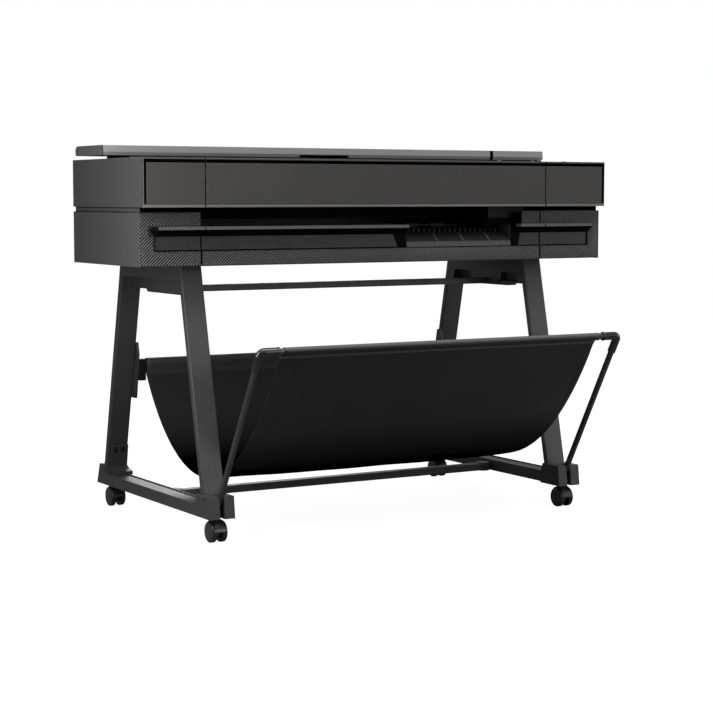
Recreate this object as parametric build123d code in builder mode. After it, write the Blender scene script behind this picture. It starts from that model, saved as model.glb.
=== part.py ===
from build123d import *
import os

os.makedirs("parts", exist_ok=True)

# A roll-fed plotter on an A-frame stand. Millimetres, +Z up, +X to the right, front towards -Y.
# The origin is on the floor, under the middle of the overall box.

# ---- driving dimensions -------------------------------------------------------------------------
body_width = 1317.0
lid_top = 926.0
body_top = 892.5
upper_bottom = 778.0
lower_top = 766.5
body_bottom = 641.0
left_seam = -501.0
right_seam = 468.0
seam_gap = 3.0
wall = 3.0
slack = 0.05  # radial clearance of a shaft in its hole

# Depths are measured from stand_y, the line midway between the front and rear castors.
bin_reach = 532.8
beam_reach = 344.0
stand_y = (bin_reach - beam_reach) / 2
upper_front = stand_y - 260.0
lower_front = stand_y - 235.5
body_back = stand_y + 168.0
half_body = body_width / 2

# ---- derived sizes ------------------------------------------------------------------------------
leg_outer = 522.0
leg_inner = 467.0
leg_depth = 18.0
leg_wall = 2.0
cap_bottom = body_bottom - 37.0
beam_bottom = 58.0
beam_top = 87.0
block_top = 110.0
beam_outer = 531.0
beam_inner = 479.0
block_inner = 466.0
leg_lean = 124.0 / (body_bottom - beam_top)  # run of a leg's outer edge per unit of height
leg_front_top = stand_y - 161.0
leg_back_top = stand_y + 198.0
gusset_bolt_z = 146.0
gusset_x = (leg_inner + leg_outer - 7.0) / 2

rod_x = 498.0
pivot_y = stand_y - 313.0
pivot_z = 93.0
bar_radius = 7.5
elbow_radius = 10.0
bar_y = stand_y - bin_reach + elbow_radius
bar_z = 459.5
trough_half = 440.0
cloth = 3.0

wheel_radius = 25.0
stem_trail = 8.0
castor_y = 298.0
castor_x = 499.5

lip_front = upper_front
lip_top = 733.4
lip_nose = 726.0
lip_bottom = 711.0
pocket_bottom = 676.5
pocket_depth = 3.0
fascia = 4.5
neck = 5.0
joint_width = 1.6
joint_depth = 1.0
lower_joint_y = stand_y + 30.0
upper_joint_y = stand_y - 178.0
inlet_centre = (-590.0, 690.0)
ramp_left = 61.0
ramp_right = 377.0
slot_right = 410.5
mouth_left = 37.0
mouth_right = 401.0
lip_end_x = 620.0
lid_span = (-650.5, 473.0)
panel_span = (482.0, 647.0)

upright_left = (-507.0, -503.0)
upright_right = (473.0, 477.0)
pan_top = 645.0

roller_y = stand_y - 80.0
roller_radius = 12.0
roller_z = 711.0
pinch_radius = 6.0
pinch_z = roller_z + roller_radius + pinch_radius + 0.3
platen_top = roller_z + roller_radius - 1.0
guide_rod_y = stand_y - 70.0
guide_rod_z = 790.0
guide_rod_radius = 8.0
belt_z = 822.0
pulley_radius = 10.0
drive_pulley_x = 450.0
idler_pulley_x = -480.0
belt_span = (stand_y - 58.0, stand_y - 52.0)
beam_plate = (stand_y - 49.0, stand_y - 46.0)
carriage_x = 385.0
carriage_width = 110.0

roll_y = stand_y + 84.0
roll_z = 832.0
roll_radius = 44.0
core_radius = 25.4
spindle_radius = 8.0
paper_span = (-478.0, 436.0)

door_axis = (stand_y - 12.0, 886.0)
lid_axis = (stand_y + 163.0, 898.0)
panel_axis = (stand_y + 7.0, 898.0)
ink_axis = (stand_y - 226.0, 649.0)
lid_bottom = 902.0
rim_top = lid_bottom - 0.6


# ---- helpers ------------------------------------------------------------------------------------
def box(x, y, z, mode=Mode.ADD):
    """A box between a low and a high limit on each axis."""
    with Locations(((x[0] + x[1]) / 2, (y[0] + y[1]) / 2, (z[0] + z[1]) / 2)):
        Box(x[1] - x[0], y[1] - y[0], z[1] - z[0], mode=mode)


def side_outline(points, x):
    """A flat face in the plane at x, from (y, z) corners."""
    with BuildSketch(Plane.YZ.offset(x)) as face:
        with BuildLine():
            Polyline(*points, close=True)
        make_face()
    return face.sketch


def prism(points, x, mode=Mode.ADD):
    """A solid with the (y, z) outline, between two limits along x."""
    extrude(side_outline(points, x[0]), amount=x[1] - x[0], mode=mode)


def rod_along_x(y, z, radius, x, mode=Mode.ADD):
    """A round bar along x."""
    with BuildSketch(Plane.YZ.offset(x[0])) as circle:
        with Locations((y, z)):
            Circle(radius)
    extrude(circle.sketch, amount=x[1] - x[0], mode=mode)


def rod_along_y(x, z, radius, y, mode=Mode.ADD):
    """A round bar along y."""
    with BuildSketch(Plane.XZ.offset(-y[0])) as circle:
        with Locations((x, z)):
            Circle(radius)
    extrude(circle.sketch, amount=y[0] - y[1], mode=mode)


def rod_along_z(x, y, radius, z, mode=Mode.ADD):
    """A round bar along z."""
    with BuildSketch(Plane.XY.offset(z[0])) as circle:
        with Locations((x, y)):
            Circle(radius)
    extrude(circle.sketch, amount=z[1] - z[0], mode=mode)


def across(sign, inner, outer):
    """The x limits of something between two distances from the middle, on the side of sign."""
    return (sign * inner, sign * outer) if sign > 0 else (sign * outer, sign * inner)


def end_span(sign, seam, inset):
    """The x limits of an end cover, from its seam to inset short of the body's outer face."""
    outer = sign * (half_body - inset)
    return (min(seam, outer), max(seam, outer))


def save(builder, name):
    """Label a finished piece and write it."""
    builder.part.label = name
    export_step(builder.part, f"parts/{name}.step")


def leg_front(z):
    """Front edge of a front leg at height z."""
    return leg_front_top - leg_lean * (body_bottom - z)


def leg_back(z):
    """Back edge of a rear leg at height z."""
    return leg_back_top + leg_lean * (body_bottom - z)


sides = (("left", -1), ("right", 1))


# ---- stand --------------------------------------------------------------------------------------
def leg_outline(front, low, high):
    """The (y, z) outline of a leg between two heights."""
    edge = leg_front if front else leg_back
    depth = leg_depth if front else -leg_depth
    return [(edge(low), low), (edge(low) + depth, low), (edge(high) + depth, high), (edge(high), high)]


def make_top_cap(side, sign):
    """Bracket under the body: a leaning-ended cap with a recessed web and a lug for the crossbar."""
    web_outer = 494.0
    web_inner = 490.0
    web_bottom = 574.0
    lug = (stand_y - 80.0, stand_y + 100.0)
    with BuildPart() as top_cap:
        prism(
            [
                (leg_front(cap_bottom), cap_bottom),
                (leg_back(cap_bottom), cap_bottom),
                (leg_back(body_bottom), body_bottom),
                (leg_front(body_bottom), body_bottom),
            ],
            across(sign, leg_inner, leg_outer),
        )
        vertical = top_cap.edges().filter_by(GeomType.LINE).filter_by(lambda e: e.length < 45)
        fillet(vertical.filter_by(Axis.X, reverse=True), radius=2.5)
        box(
            across(sign, leg_inner + wall, leg_outer - wall),
            (stand_y - 125.0, stand_y + 160.0),
            (web_bottom - 10, body_bottom - wall),
            mode=Mode.SUBTRACT,
        )
        front_limit = leg_front(web_bottom) + leg_depth
        back_limit = leg_back(web_bottom) - leg_depth
        web = [
            (front_limit, web_bottom),
            (lug[0] - 20, web_bottom),
            (lug[0] - 12, 567.0),
            (lug[1] - 8, 567.0),
            (lug[1], web_bottom),
            (back_limit, web_bottom),
            (leg_back(cap_bottom + 5) - leg_depth - 1, cap_bottom + 5),
            (leg_front(cap_bottom + 5) + leg_depth + 1, cap_bottom + 5),
        ]
        prism(web, across(sign, leg_inner, web_outer))
        pocket_top = cap_bottom - 2
        pocket_floor = web_bottom + 4
        for y in ((stand_y - 140.0, lug[0] + 22.0), (lug[1] - 22.0, stand_y + 168.0)):
            prism(
                [(y[0], pocket_floor), (y[1], pocket_floor), (y[1] - 6, pocket_top), (y[0] + 6, pocket_top)],
                across(sign, leg_inner, web_inner),
                mode=Mode.SUBTRACT,
            )
    save(top_cap, f"{side}_top_cap")


def make_leg(side, sign, front):
    """A leaning rectangular tube, from its socket in the foot beam up to the cap."""
    low = beam_top - 6.0
    x = across(sign, leg_inner, leg_outer)
    with BuildPart() as leg:
        prism(leg_outline(front, low, cap_bottom), x)
        fillet(leg.edges().filter_by(lambda e: e.length > 400), radius=3)
        inset = leg_wall if front else -leg_wall
        inner = leg_outline(front, low - 10, cap_bottom + 10)
        hollow = [
            (inner[0][0] + inset, inner[0][1]),
            (inner[1][0] - inset, inner[1][1]),
            (inner[2][0] - inset, inner[2][1]),
            (inner[3][0] + inset, inner[3][1]),
        ]
        prism(hollow, (x[0] + leg_wall, x[1] - leg_wall), mode=Mode.SUBTRACT)
        if not front:
            gusset_top = 160.0
            face = leg_back(beam_top) - leg_depth
            prism(
                [
                    (face - 48, beam_top - 3),
                    (face - 48, beam_top + 7),
                    (face - 28, beam_top + 10),
                    (face - 12, beam_top + 18),
                    (leg_back(gusset_top) - leg_depth - 5, gusset_top),
                    (leg_back(gusset_top) - leg_depth, gusset_top),
                    (leg_back(beam_top + 1) - leg_depth, beam_top + 1),
                    (leg_back(beam_top + 1) - leg_depth - 8, beam_top - 3),
                ],
                across(sign, leg_inner + 1, leg_outer - 8),
            )
            with Locations(
                Plane(
                    origin=(sign * gusset_x, leg_back(gusset_bolt_z) - leg_depth - 7, gusset_bolt_z),
                    x_dir=(1, 0, 0),
                    z_dir=(0, -1, 0),
                )
            ):
                with GridLocations(20.0, 1.0, 2, 1):
                    Box(13.0, 16.0, 12.0, mode=Mode.SUBTRACT)
    save(leg, f"{side}_{'front' if front else 'rear'}_leg")


def make_foot_beam(side, sign):
    """Beam under a pair of legs, with a raised end block at each end and the rod slot in front."""
    end_front = stand_y - 332.0
    end_back = stand_y + beam_reach
    outer = beam_outer
    stems = (stand_y - castor_y + stem_trail, stand_y + castor_y + stem_trail)
    with BuildPart() as foot_beam:
        box(across(sign, beam_inner, outer), (end_front + 20, end_back - 20), (beam_bottom, beam_top))
        prism(
            [
                (end_front, beam_bottom),
                (end_front + 6, block_top),
                (leg_front(block_top) + leg_depth + 4, block_top),
                (leg_front(beam_top) + leg_depth + 18, beam_top),
                (leg_front(beam_top) + leg_depth + 18, beam_bottom),
            ],
            across(sign, block_inner, outer),
        )
        prism(
            [
                (end_back, beam_bottom),
                (end_back - 18, block_top),
                (leg_back(block_top) - leg_depth + 6, block_top),
                (leg_back(beam_top) - leg_depth - 10, beam_top),
                (leg_back(beam_top) - leg_depth - 10, beam_bottom),
            ],
            across(sign, block_inner, outer),
        )
        box(
            across(sign, beam_inner + wall, outer - wall),
            (stand_y - 240.0, stand_y + 250.0),
            (beam_top - wall, beam_top),
            mode=Mode.SUBTRACT,
        )
        box(
            across(sign, beam_inner + wall, outer - wall),
            (stand_y - 235.0, stand_y + 245.0),
            (beam_bottom, beam_top - 2 * wall),
            mode=Mode.SUBTRACT,
        )
        for front in (True, False):
            socket = leg_outline(front, beam_top - 6, block_top + 20)
            prism(socket, across(sign, leg_inner, leg_outer), mode=Mode.SUBTRACT)
        face = leg_back(beam_top) - leg_depth
        box(
            across(sign, block_inner - 1, leg_outer - 7),
            (face - 49, face + 8),
            (beam_top - 3, block_top + 1),
            mode=Mode.SUBTRACT,
        )
        slot = [
            (end_front - 8, beam_bottom - 1),
            (pivot_y + 7, beam_bottom - 1),
            (pivot_y + 7, beam_bottom + 24),
            (pivot_y + 22, beam_bottom + 24),
            (pivot_y + 22, block_top + 10),
            (end_front - 8, block_top + 10),
        ]
        prism(slot, (sign * rod_x - 6, sign * rod_x + 6), mode=Mode.SUBTRACT)
        rod_along_x(pivot_y, pivot_z, 4.0 + slack, (sign * rod_x - 12, sign * rod_x + 12), mode=Mode.SUBTRACT)
        hole_y = (stand_y - 305.0, stand_y - 298.0)
        hole_z = (block_top - 11.5, block_top - 4.5)
        box(across(sign, outer - 4, outer + 1), hole_y, hole_z, mode=Mode.SUBTRACT)
        for y in stems:
            rod_along_z(sign * castor_x, y, 5.0 + slack, (beam_bottom, beam_bottom + 18), mode=Mode.SUBTRACT)
    save(foot_beam, f"{side}_foot_beam")


def make_crossbars():
    """The upper bar between the caps and the lower bar, which ends in two upright bosses."""
    upper_y = stand_y + 10.0
    with BuildPart() as upper_crossbar:
        box((-leg_inner, leg_inner), (upper_y - 15, upper_y + 15), (569.0, 585.0))
        fillet(upper_crossbar.edges().filter_by(Axis.X), radius=2)
    save(upper_crossbar, "upper_crossbar")
    boss_radius = 18.0
    boss_x = beam_inner - boss_radius
    lower_z = (beam_bottom + 1, beam_top - 9)
    with BuildPart() as lower_crossbar:
        box((-boss_x, boss_x), (upper_y - 14, upper_y + 14), lower_z)
        fillet(lower_crossbar.edges().filter_by(Axis.X), radius=2)
        for sign in (-1, 1):
            rod_along_z(sign * boss_x, upper_y, boss_radius, (lower_z[0] - 1, lower_z[1] + 2))
    save(lower_crossbar, "lower_crossbar")


def make_bin_bar():
    """The bin's rear bar and the two brackets that carry it on the rear legs."""
    bar = (371.0, 385.0)
    bar_centre = stand_y + 232.0
    bracket_x = 461.0
    with BuildPart() as bin_rear_bar:
        box((-bracket_x, bracket_x), (bar_centre - 7, bar_centre + 7), bar)
        fillet(bin_rear_bar.edges().filter_by(Axis.X), radius=3)
    save(bin_rear_bar, "bin_rear_bar")
    with BuildPart() as bin_bar_brackets:
        for sign in (-1, 1):
            prism(
                [
                    (leg_back(285.0) - leg_depth - 22, 285.0),
                    (leg_back(285.0) - 2, 285.0),
                    (leg_back(430.0) - 2, 430.0),
                    (leg_back(430.0) - leg_depth, 430.0),
                    (leg_back(400.0) - leg_depth - 14, 400.0),
                ],
                across(sign, bracket_x, leg_inner),
            )
    save(bin_bar_brackets, "bin_bar_brackets")


def make_bolts():
    """Socket-head bolts: two in each rear gusset and one on each lug of the upper crossbar."""
    head = 4.5
    depth = 3.5
    gusset_y = leg_back(gusset_bolt_z) - leg_depth
    lug_z = 577.5
    with BuildPart() as stand_bolts:
        for sign in (-1, 1):
            for x in (-10.0, 10.0):
                rod_along_y(sign * gusset_x + x, gusset_bolt_z, head, (gusset_y - depth, gusset_y - 1.2))
            for y in (-52.0, 72.0):
                rod_along_x(stand_y + y, lug_z, head, across(sign, leg_inner - depth, leg_inner))
    save(stand_bolts, "stand_bolts")


def make_castor(corner, x, y):
    """A hooded swivel castor: hood with stem, and a pair of wheels on one axle."""
    half_hub = 5.0
    half_hood = 14.5
    half_width = 19.0
    axle = 3.0
    hood_radius = 27.0
    with BuildPart() as hood:
        rod_along_x(y, wheel_radius, hood_radius, (x - half_hood, x + half_hood))
        rod_along_x(y, wheel_radius, wheel_radius + 0.6, (x - half_hood, x - half_hub), mode=Mode.SUBTRACT)
        rod_along_x(y, wheel_radius, wheel_radius + 0.6, (x + half_hub, x + half_hood), mode=Mode.SUBTRACT)
        cut = [(y - 40, -10), (y + 40, -10), (y + 40, wheel_radius + 16), (y - 40, wheel_radius - 2)]
        prism(cut, (x - 30, x + 30), mode=Mode.SUBTRACT)
        rod_along_x(y, wheel_radius, 15.0, (x - half_hub, x + half_hub))
        box((x - half_hub, x + half_hub), (y - 10, y + 10), (wheel_radius, wheel_radius + 26))
        rod_along_x(y, wheel_radius, axle + slack, (x - 30, x + 30), mode=Mode.SUBTRACT)
        rod_along_z(x, y + stem_trail, 11.0, (beam_bottom - 6.5, beam_bottom - 0.5))
        rod_along_z(x, y + stem_trail, 5.0, (beam_bottom - 6.5, beam_bottom + 17))
    save(hood, f"{corner}_castor_hood")
    with BuildPart() as wheels:
        for side in (-1, 1):
            inner = x + side * (half_hub + 1.5)
            outer = x + side * half_width
            span = (min(inner, outer), max(inner, outer))
            rod_along_x(y, wheel_radius, wheel_radius, span)
        rims = wheels.edges().filter_by(GeomType.CIRCLE).filter_by(lambda e: e.radius > axle + 1)
        fillet(rims, radius=2.5)
        rod_along_x(y, wheel_radius, axle, (x - half_width + 2, x + half_width - 2))
    save(wheels, f"{corner}_castor_wheels")


# ---- catch bin ----------------------------------------------------------------------------------
rod_length = ((bar_y - pivot_y) ** 2 + (bar_z - pivot_z) ** 2) ** 0.5
rod_y = (bar_y - pivot_y) / rod_length
rod_z = (bar_z - pivot_z) / rod_length
elbow_drop = 47.0


def rod_plane(x, distance):
    """A plane square to the side rods, at a distance up from the trunnions."""
    origin = (x, pivot_y + rod_y * distance, pivot_z + rod_z * distance)
    return Plane(origin=origin, x_dir=(1, 0, 0), z_dir=(0, rod_y, rod_z))


def make_bin_frame():
    """The front tube, its elbows and the two side rods that turn in the foot slots."""
    tube_end = 451.0
    with BuildPart() as bin_front_tube:
        rod_along_x(bar_y, bar_z, bar_radius, (-tube_end, tube_end))
    save(bin_front_tube, "bin_front_tube")
    for side, sign in sides:
        with BuildPart() as elbow:
            corner = elbow_radius + 1.5
            start = Vector(sign * tube_end, bar_y, bar_z)
            turn = Vector(sign * rod_x, bar_y, bar_z)
            end = turn - Vector(0, rod_y, rod_z) * elbow_drop
            with BuildLine() as path:
                FilletPolyline(start, turn, end, radius=corner)
            with BuildSketch(Plane(origin=start, x_dir=(0, 1, 0), z_dir=(sign, 0, 0))):
                Circle(elbow_radius)
            sweep(path=path.wires()[0])
        save(elbow, f"bin_{side}_elbow")
        with BuildPart() as rod:
            with BuildSketch(rod_plane(sign * rod_x, 0)):
                RectangleRounded(11.0, 15.0, radius=4.0)
            extrude(amount=rod_length - elbow_drop)
            rod_along_x(pivot_y, pivot_z, 8.0, (sign * rod_x - 5.5, sign * rod_x + 5.5))
            rod_along_x(pivot_y, pivot_z, 4.0, (sign * rod_x - 11, sign * rod_x + 11))
        save(rod, f"bin_{side}_rod")


def make_trough():
    """The cloth, a closed thin trough that hangs from the rear bar to just under the front tube."""
    rear = (stand_y + 232.0, 369.0)
    rear_pull = (stand_y + 86.0, 91.0)
    front_pull = (stand_y - 247.0, -46.0)
    front = (stand_y - 519.0, 449.0)
    with BuildPart() as bin_fabric:
        with BuildSketch(Plane.YZ.offset(-trough_half)):
            with BuildLine():
                outer = Bezier(rear, rear_pull, front_pull, front)
                inner = Bezier(
                    (rear[0] - cloth, rear[1]),
                    (rear_pull[0] - cloth, rear_pull[1] + cloth),
                    (front_pull[0] + cloth, front_pull[1] + cloth),
                    (front[0] + cloth, front[1]),
                )
                Line(outer @ 0, inner @ 0)
                Line(outer @ 1, inner @ 1)
            make_face()
        extrude(amount=2 * trough_half)
    save(bin_fabric, "bin_fabric")


# ---- lower body ---------------------------------------------------------------------------------
def shaft_holes(x):
    """Holes through an upright for every shaft that it carries."""
    rod_along_x(roller_y, roller_z, 4.0 + slack, x, mode=Mode.SUBTRACT)
    rod_along_x(roller_y, pinch_z, 2.5 + slack, x, mode=Mode.SUBTRACT)
    rod_along_x(guide_rod_y, guide_rod_z, guide_rod_radius, x, mode=Mode.SUBTRACT)
    rod_along_x(roll_y, roll_z, spindle_radius + slack, x, mode=Mode.SUBTRACT)
    rod_along_x(*door_axis, 3.0 + slack, x, mode=Mode.SUBTRACT)


def make_chassis():
    """Sheet-metal pan with two uprights that carry the print mechanism."""
    with BuildPart() as chassis:
        box((-640, 640), (stand_y - 215, stand_y + 160), (body_bottom, pan_top))
        for x in (upright_left, upright_right):
            box(x, (stand_y - 195, stand_y + 150), (pan_top, body_top - 4))
            shaft_holes(x)
        rod_along_x(*ink_axis, 4.4, upright_right)
        box(upright_right, (ink_axis[0], stand_y - 195), (ink_axis[1] - 4.4, ink_axis[1] + 8))
        rod_along_x(*ink_axis, 2.5 + slack, upright_right, mode=Mode.SUBTRACT)
    save(chassis, "chassis")


def panel_joint(sign, y, z):
    """The shallow upright groove in an end cover's outer face where two mouldings meet."""
    half = joint_width / 2
    box(across(sign, half_body - joint_depth, half_body + 1), (y - half, y + half), z, mode=Mode.SUBTRACT)


def make_lower_covers():
    """End covers of the lower body, each a side wall, a rear return and the inset neck above."""
    for side, sign in sides:
        seam = left_seam - seam_gap / 2 if sign < 0 else right_seam + seam_gap / 2
        front = stand_y - 174.0 if sign < 0 else lower_front
        x = end_span(sign, seam, 0)
        neck_y = (lower_front + neck, body_back - neck)
        with BuildPart() as lower_cover:
            box(x, (front, body_back), (body_bottom, lower_top))
            corner = lower_cover.edges().filter_by(Axis.Z).group_by(Axis.Y)[-1]
            fillet(corner.sort_by(Axis.X)[0 if sign < 0 else -1], radius=4)
            inside = (front - 1, body_back - wall)
            box(end_span(sign, seam, wall), inside, (body_bottom, lower_top - wall), mode=Mode.SUBTRACT)
            if sign > 0:
                door_space = (front - 1, neck_y[0])
                box(end_span(sign, seam, wall), door_space, (body_bottom, lower_top), mode=Mode.SUBTRACT)
            box(end_span(sign, seam, neck), neck_y, (lower_top - wall, upper_bottom))
            neck_inside = (neck_y[0] + wall, neck_y[1] - wall)
            neck_z = (lower_top - wall, upper_bottom)
            box(end_span(sign, seam, neck + wall), neck_inside, neck_z, mode=Mode.SUBTRACT)
            panel_joint(sign, lower_joint_y, (body_bottom, lower_top))
            if sign < 0:
                inlet_z = (inlet_centre[1] - 12, inlet_centre[1] + 12)
                inlet_span = (inlet_centre[0] - 15, inlet_centre[0] + 15)
                box(inlet_span, (body_back - wall, body_back), inlet_z, mode=Mode.SUBTRACT)
            else:
                rod_along_x(*ink_axis, 2.5 + slack, (half_body - wall, half_body - 0.5), mode=Mode.SUBTRACT)
        save(lower_cover, f"{side}_lower_cover")


def make_power_inlet():
    """Three-pin mains inlet in the left lower cover's rear wall."""
    x, z = inlet_centre
    with BuildPart() as power_inlet:
        box((x - 19, x + 19), (body_back - wall - 2, body_back - wall), (z - 16, z + 16))
        box((x - 14.8, x + 14.8), (body_back - 26, body_back + 1), (z - 11.8, z + 11.8))
        box((x - 12.3, x + 12.3), (body_back - 18, body_back + 1), (z - 9, z + 9), mode=Mode.SUBTRACT)
        for pin in (-7.0, 0.0, 7.0):
            box((x + pin - 1, x + pin + 1), (body_back - 19, body_back - 4), (z - 2.5, z + 2.5))
    save(power_inlet, "power_inlet")


def lip_outline():
    """The (y, z) section of the lip bar that stands out of the fascias."""
    return [
        (lower_front, lip_top),
        (lip_front + 2, lip_top),
        (lip_front, lip_nose),
        (lower_front - 4, lip_bottom),
        (lower_front, lip_bottom),
    ]


def lip_point(sign):
    """The pointed end of the lip, which runs back to the fascia beyond the pocket."""
    point = Vertex(sign * (lip_end_x + 14), lower_front, lip_nose)
    loft(sections=[side_outline(lip_outline(), sign * lip_end_x).face(), point])


def front_outline(points, y):
    """A flat face in the plane at y, from (x, z) corners."""
    with BuildSketch(Plane.XZ.offset(-y)) as face:
        with BuildLine():
            Polyline(*points, close=True)
        make_face()
    return face.sketch


def make_fascias():
    """The three pieces of the lower front: left fascia, centre fascia and ink door."""
    wall_y = (lower_front, lower_front + fascia)
    pocket_end = 622.0
    pocket = (lower_front, lower_front + pocket_depth)
    left = (-half_body, left_seam - seam_gap / 2)
    with BuildPart() as left_fascia:
        box(left, wall_y, (body_bottom, lower_top))
        box((left[0], left[0] + wall), (lower_front, stand_y - 175.0), (body_bottom, lower_top))
        box(left, (lower_front, lower_front + neck - 1), (lower_top - wall, lower_top))
        side_ledge = (left[0], left[0] + neck - 1)
        box(side_ledge, (lower_front, stand_y - 175.0), (lower_top - wall, lower_top))
        corner = left_fascia.edges().filter_by(Axis.Z).group_by(Axis.Y)[0]
        fillet(corner.sort_by(Axis.X)[0], radius=2.5)
        box((-pocket_end, left[1]), pocket, (pocket_bottom, lip_bottom), mode=Mode.SUBTRACT)
        prism(lip_outline(), (-lip_end_x, left[1]))
        lip_point(-1)
    save(left_fascia, "left_fascia")

    centre = (left_seam + seam_gap / 2, right_seam - seam_gap / 2)
    with BuildPart() as centre_fascia:
        box(centre, wall_y, (body_bottom, lip_top))
        box((slot_right, centre[1]), wall_y, (body_bottom, lower_top))
        box(centre, pocket, (pocket_bottom, lip_bottom), mode=Mode.SUBTRACT)
        prism(lip_outline(), centre)
        mouth = [
            (mouth_left, pocket_bottom + 1),
            (mouth_right, pocket_bottom + 1),
            (slot_right, lip_top + 1),
            (mouth_left - 24, lip_top + 1),
        ]
        extrude(front_outline(mouth, lower_front), amount=-2 * fascia, mode=Mode.SUBTRACT)
        lip_gap = (ramp_left - 6.5, mouth_right - 9)
        box(lip_gap, (lip_front - 1, lower_front), (lip_bottom - 1, lip_top + 1), mode=Mode.SUBTRACT)
    save(centre_fascia, "centre_fascia")

    door = (right_seam + seam_gap / 2, half_body - wall - 1)
    with BuildPart() as ink_door:
        box(door, wall_y, (body_bottom + 1, lower_top))
        box(door, (lower_front, lower_front + neck - 1), (lower_top - wall, lower_top))
        box((door[0], pocket_end), pocket, (pocket_bottom, lip_bottom), mode=Mode.SUBTRACT)
        prism(lip_outline(), (door[0], lip_end_x))
        lip_point(1)
        for x in ((upright_right[1] + 1, upright_right[1] + 14), (door[1] - 14, door[1])):
            box(x, (lower_front + fascia, ink_axis[0]), (ink_axis[1] - 4, ink_axis[1] + 4))
            rod_along_x(*ink_axis, 4.0, x)
        rod_along_x(*ink_axis, 2.5, (upright_right[0], upright_right[1] + 5))
        rod_along_x(*ink_axis, 2.5, (door[1] - 5, half_body - 1))
    save(ink_door, "ink_door")


# ---- upper body ---------------------------------------------------------------------------------
panel_reveal = 2.5
panel_z = (785.0, 880.5)
frame_z = (784.4, 888.5)


def make_top_covers():
    """End covers of the upper body, each with a shallow front pocket for a dark panel."""
    for side, sign in sides:
        seam = left_seam - seam_gap / 2 if sign < 0 else right_seam + seam_gap / 2
        outer = sign * half_body
        open_x = end_span(sign, seam, wall)
        with BuildPart() as top_cover:
            box(end_span(sign, seam, 0), (upper_front, body_back), (upper_bottom, body_top))
            corner = top_cover.edges().filter_by(Axis.Z).filter_by(lambda e: abs(e.center().X - outer) < 1)
            fillet(corner, radius=2.5)
            rim = top_cover.edges().group_by(Axis.Z)[-1].filter_by(lambda e: abs(e.center().X - seam) > 1)
            fillet(rim, radius=1.5)
            hollow_y = (upper_front + 6, body_back - wall)
            box(open_x, hollow_y, (upper_bottom, body_top - wall), mode=Mode.SUBTRACT)
            frame_x = end_span(sign, seam, 2)
            box(frame_x, (upper_front, upper_front + panel_reveal), frame_z, mode=Mode.SUBTRACT)
            if sign > 0:
                button = (565.0, stand_y - 205.0)
                rod_along_z(*button, 7.0 + 0.4, (body_top - wall, body_top), mode=Mode.SUBTRACT)
                for ear in (490.0, 622.0):
                    ear_x = (ear, ear + 10)
                    box(ear_x, (panel_axis[0] - 4, panel_axis[0] + 8), (body_top, panel_axis[1]))
                    rod_along_x(*panel_axis, 4.0, ear_x)
                    rod_along_x(*panel_axis, 2.0 + slack, ear_x, mode=Mode.SUBTRACT)
                for rim_x in ((513.0, 609.0), (634.0, panel_span[1] - 1)):
                    box(rim_x, (stand_y + 6, stand_y + 15), (body_top, rim_top))
                rim_x = (panel_span[0] + 4, panel_span[1] - 1)
                box(rim_x, (stand_y + 15, stand_y + 150), (body_top, rim_top))
            panel_joint(sign, upper_joint_y, (upper_bottom, body_top))
        save(top_cover, f"{side}_top_cover")
        with BuildPart() as front_panel:
            box(end_span(sign, seam, 9), (upper_front + 0.5, upper_front + panel_reveal), panel_z)
            front_edges = front_panel.faces().sort_by(Axis.Y)[0].edges()
            fillet(front_edges, radius=0.8)
        save(front_panel, f"front_panel_{side}")
    with BuildPart() as power_button:
        rod_along_z(*button, 7.0, (body_top - wall - 2, body_top + 2))
        rod_along_z(*button, 9.0, (body_top - wall - 3.5, body_top - wall - 0.5))
        fillet(power_button.edges().group_by(Axis.Z)[-1], radius=0.8)
    save(power_button, "power_button")


def make_front_door():
    """The door between the seams: a front wall, a top wall and hinge knuckles at its back."""
    x = (left_seam + seam_gap / 2, right_seam - seam_gap / 2)
    with BuildPart() as front_door:
        box(x, (upper_front, stand_y - 8), (upper_bottom, body_top))
        fillet(front_door.edges().filter_by(Axis.X).group_by(Axis.Z)[-1].sort_by(Axis.Y)[0], radius=1.5)
        box(x, (upper_front + 6, stand_y - 8), (upper_bottom, body_top - wall), mode=Mode.SUBTRACT)
        box(x, (upper_front, upper_front + panel_reveal), frame_z, mode=Mode.SUBTRACT)
        box(x, (upper_front + 6, upper_front + 14), (upper_bottom, upper_bottom + 2.5))
        for knuckle in ((x[0], x[0] + 24), (x[1] - 24, x[1])):
            rod_along_x(*door_axis, 5.0, knuckle)
        rod_along_x(*door_axis, 3.0, (upright_left[0], x[0] + 5))
        rod_along_x(*door_axis, 3.0, (x[1] - 5, upright_right[1]))
    save(front_door, "front_door")
    with BuildPart() as front_panel:
        box(x, (upper_front + 0.5, upper_front + panel_reveal), panel_z)
        front_edges = front_panel.faces().sort_by(Axis.Y)[0].edges()
        fillet(front_edges, radius=0.8)
    save(front_panel, "front_panel_centre")


def slab_outline(inset):
    """The (y, z) outline of the lid slab, shrunk by inset for its hollow."""
    front = stand_y + inset
    back = body_back - inset
    top = lid_top - inset
    return [
        (front + 3, lid_bottom),
        (front, lid_bottom + 8),
        (front + 2, top),
        (back - 13, top),
        (back - 4, top - 3.5),
        (back, top - 10),
        (back, lid_bottom + 4),
        (back - 4, lid_bottom),
    ]


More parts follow.
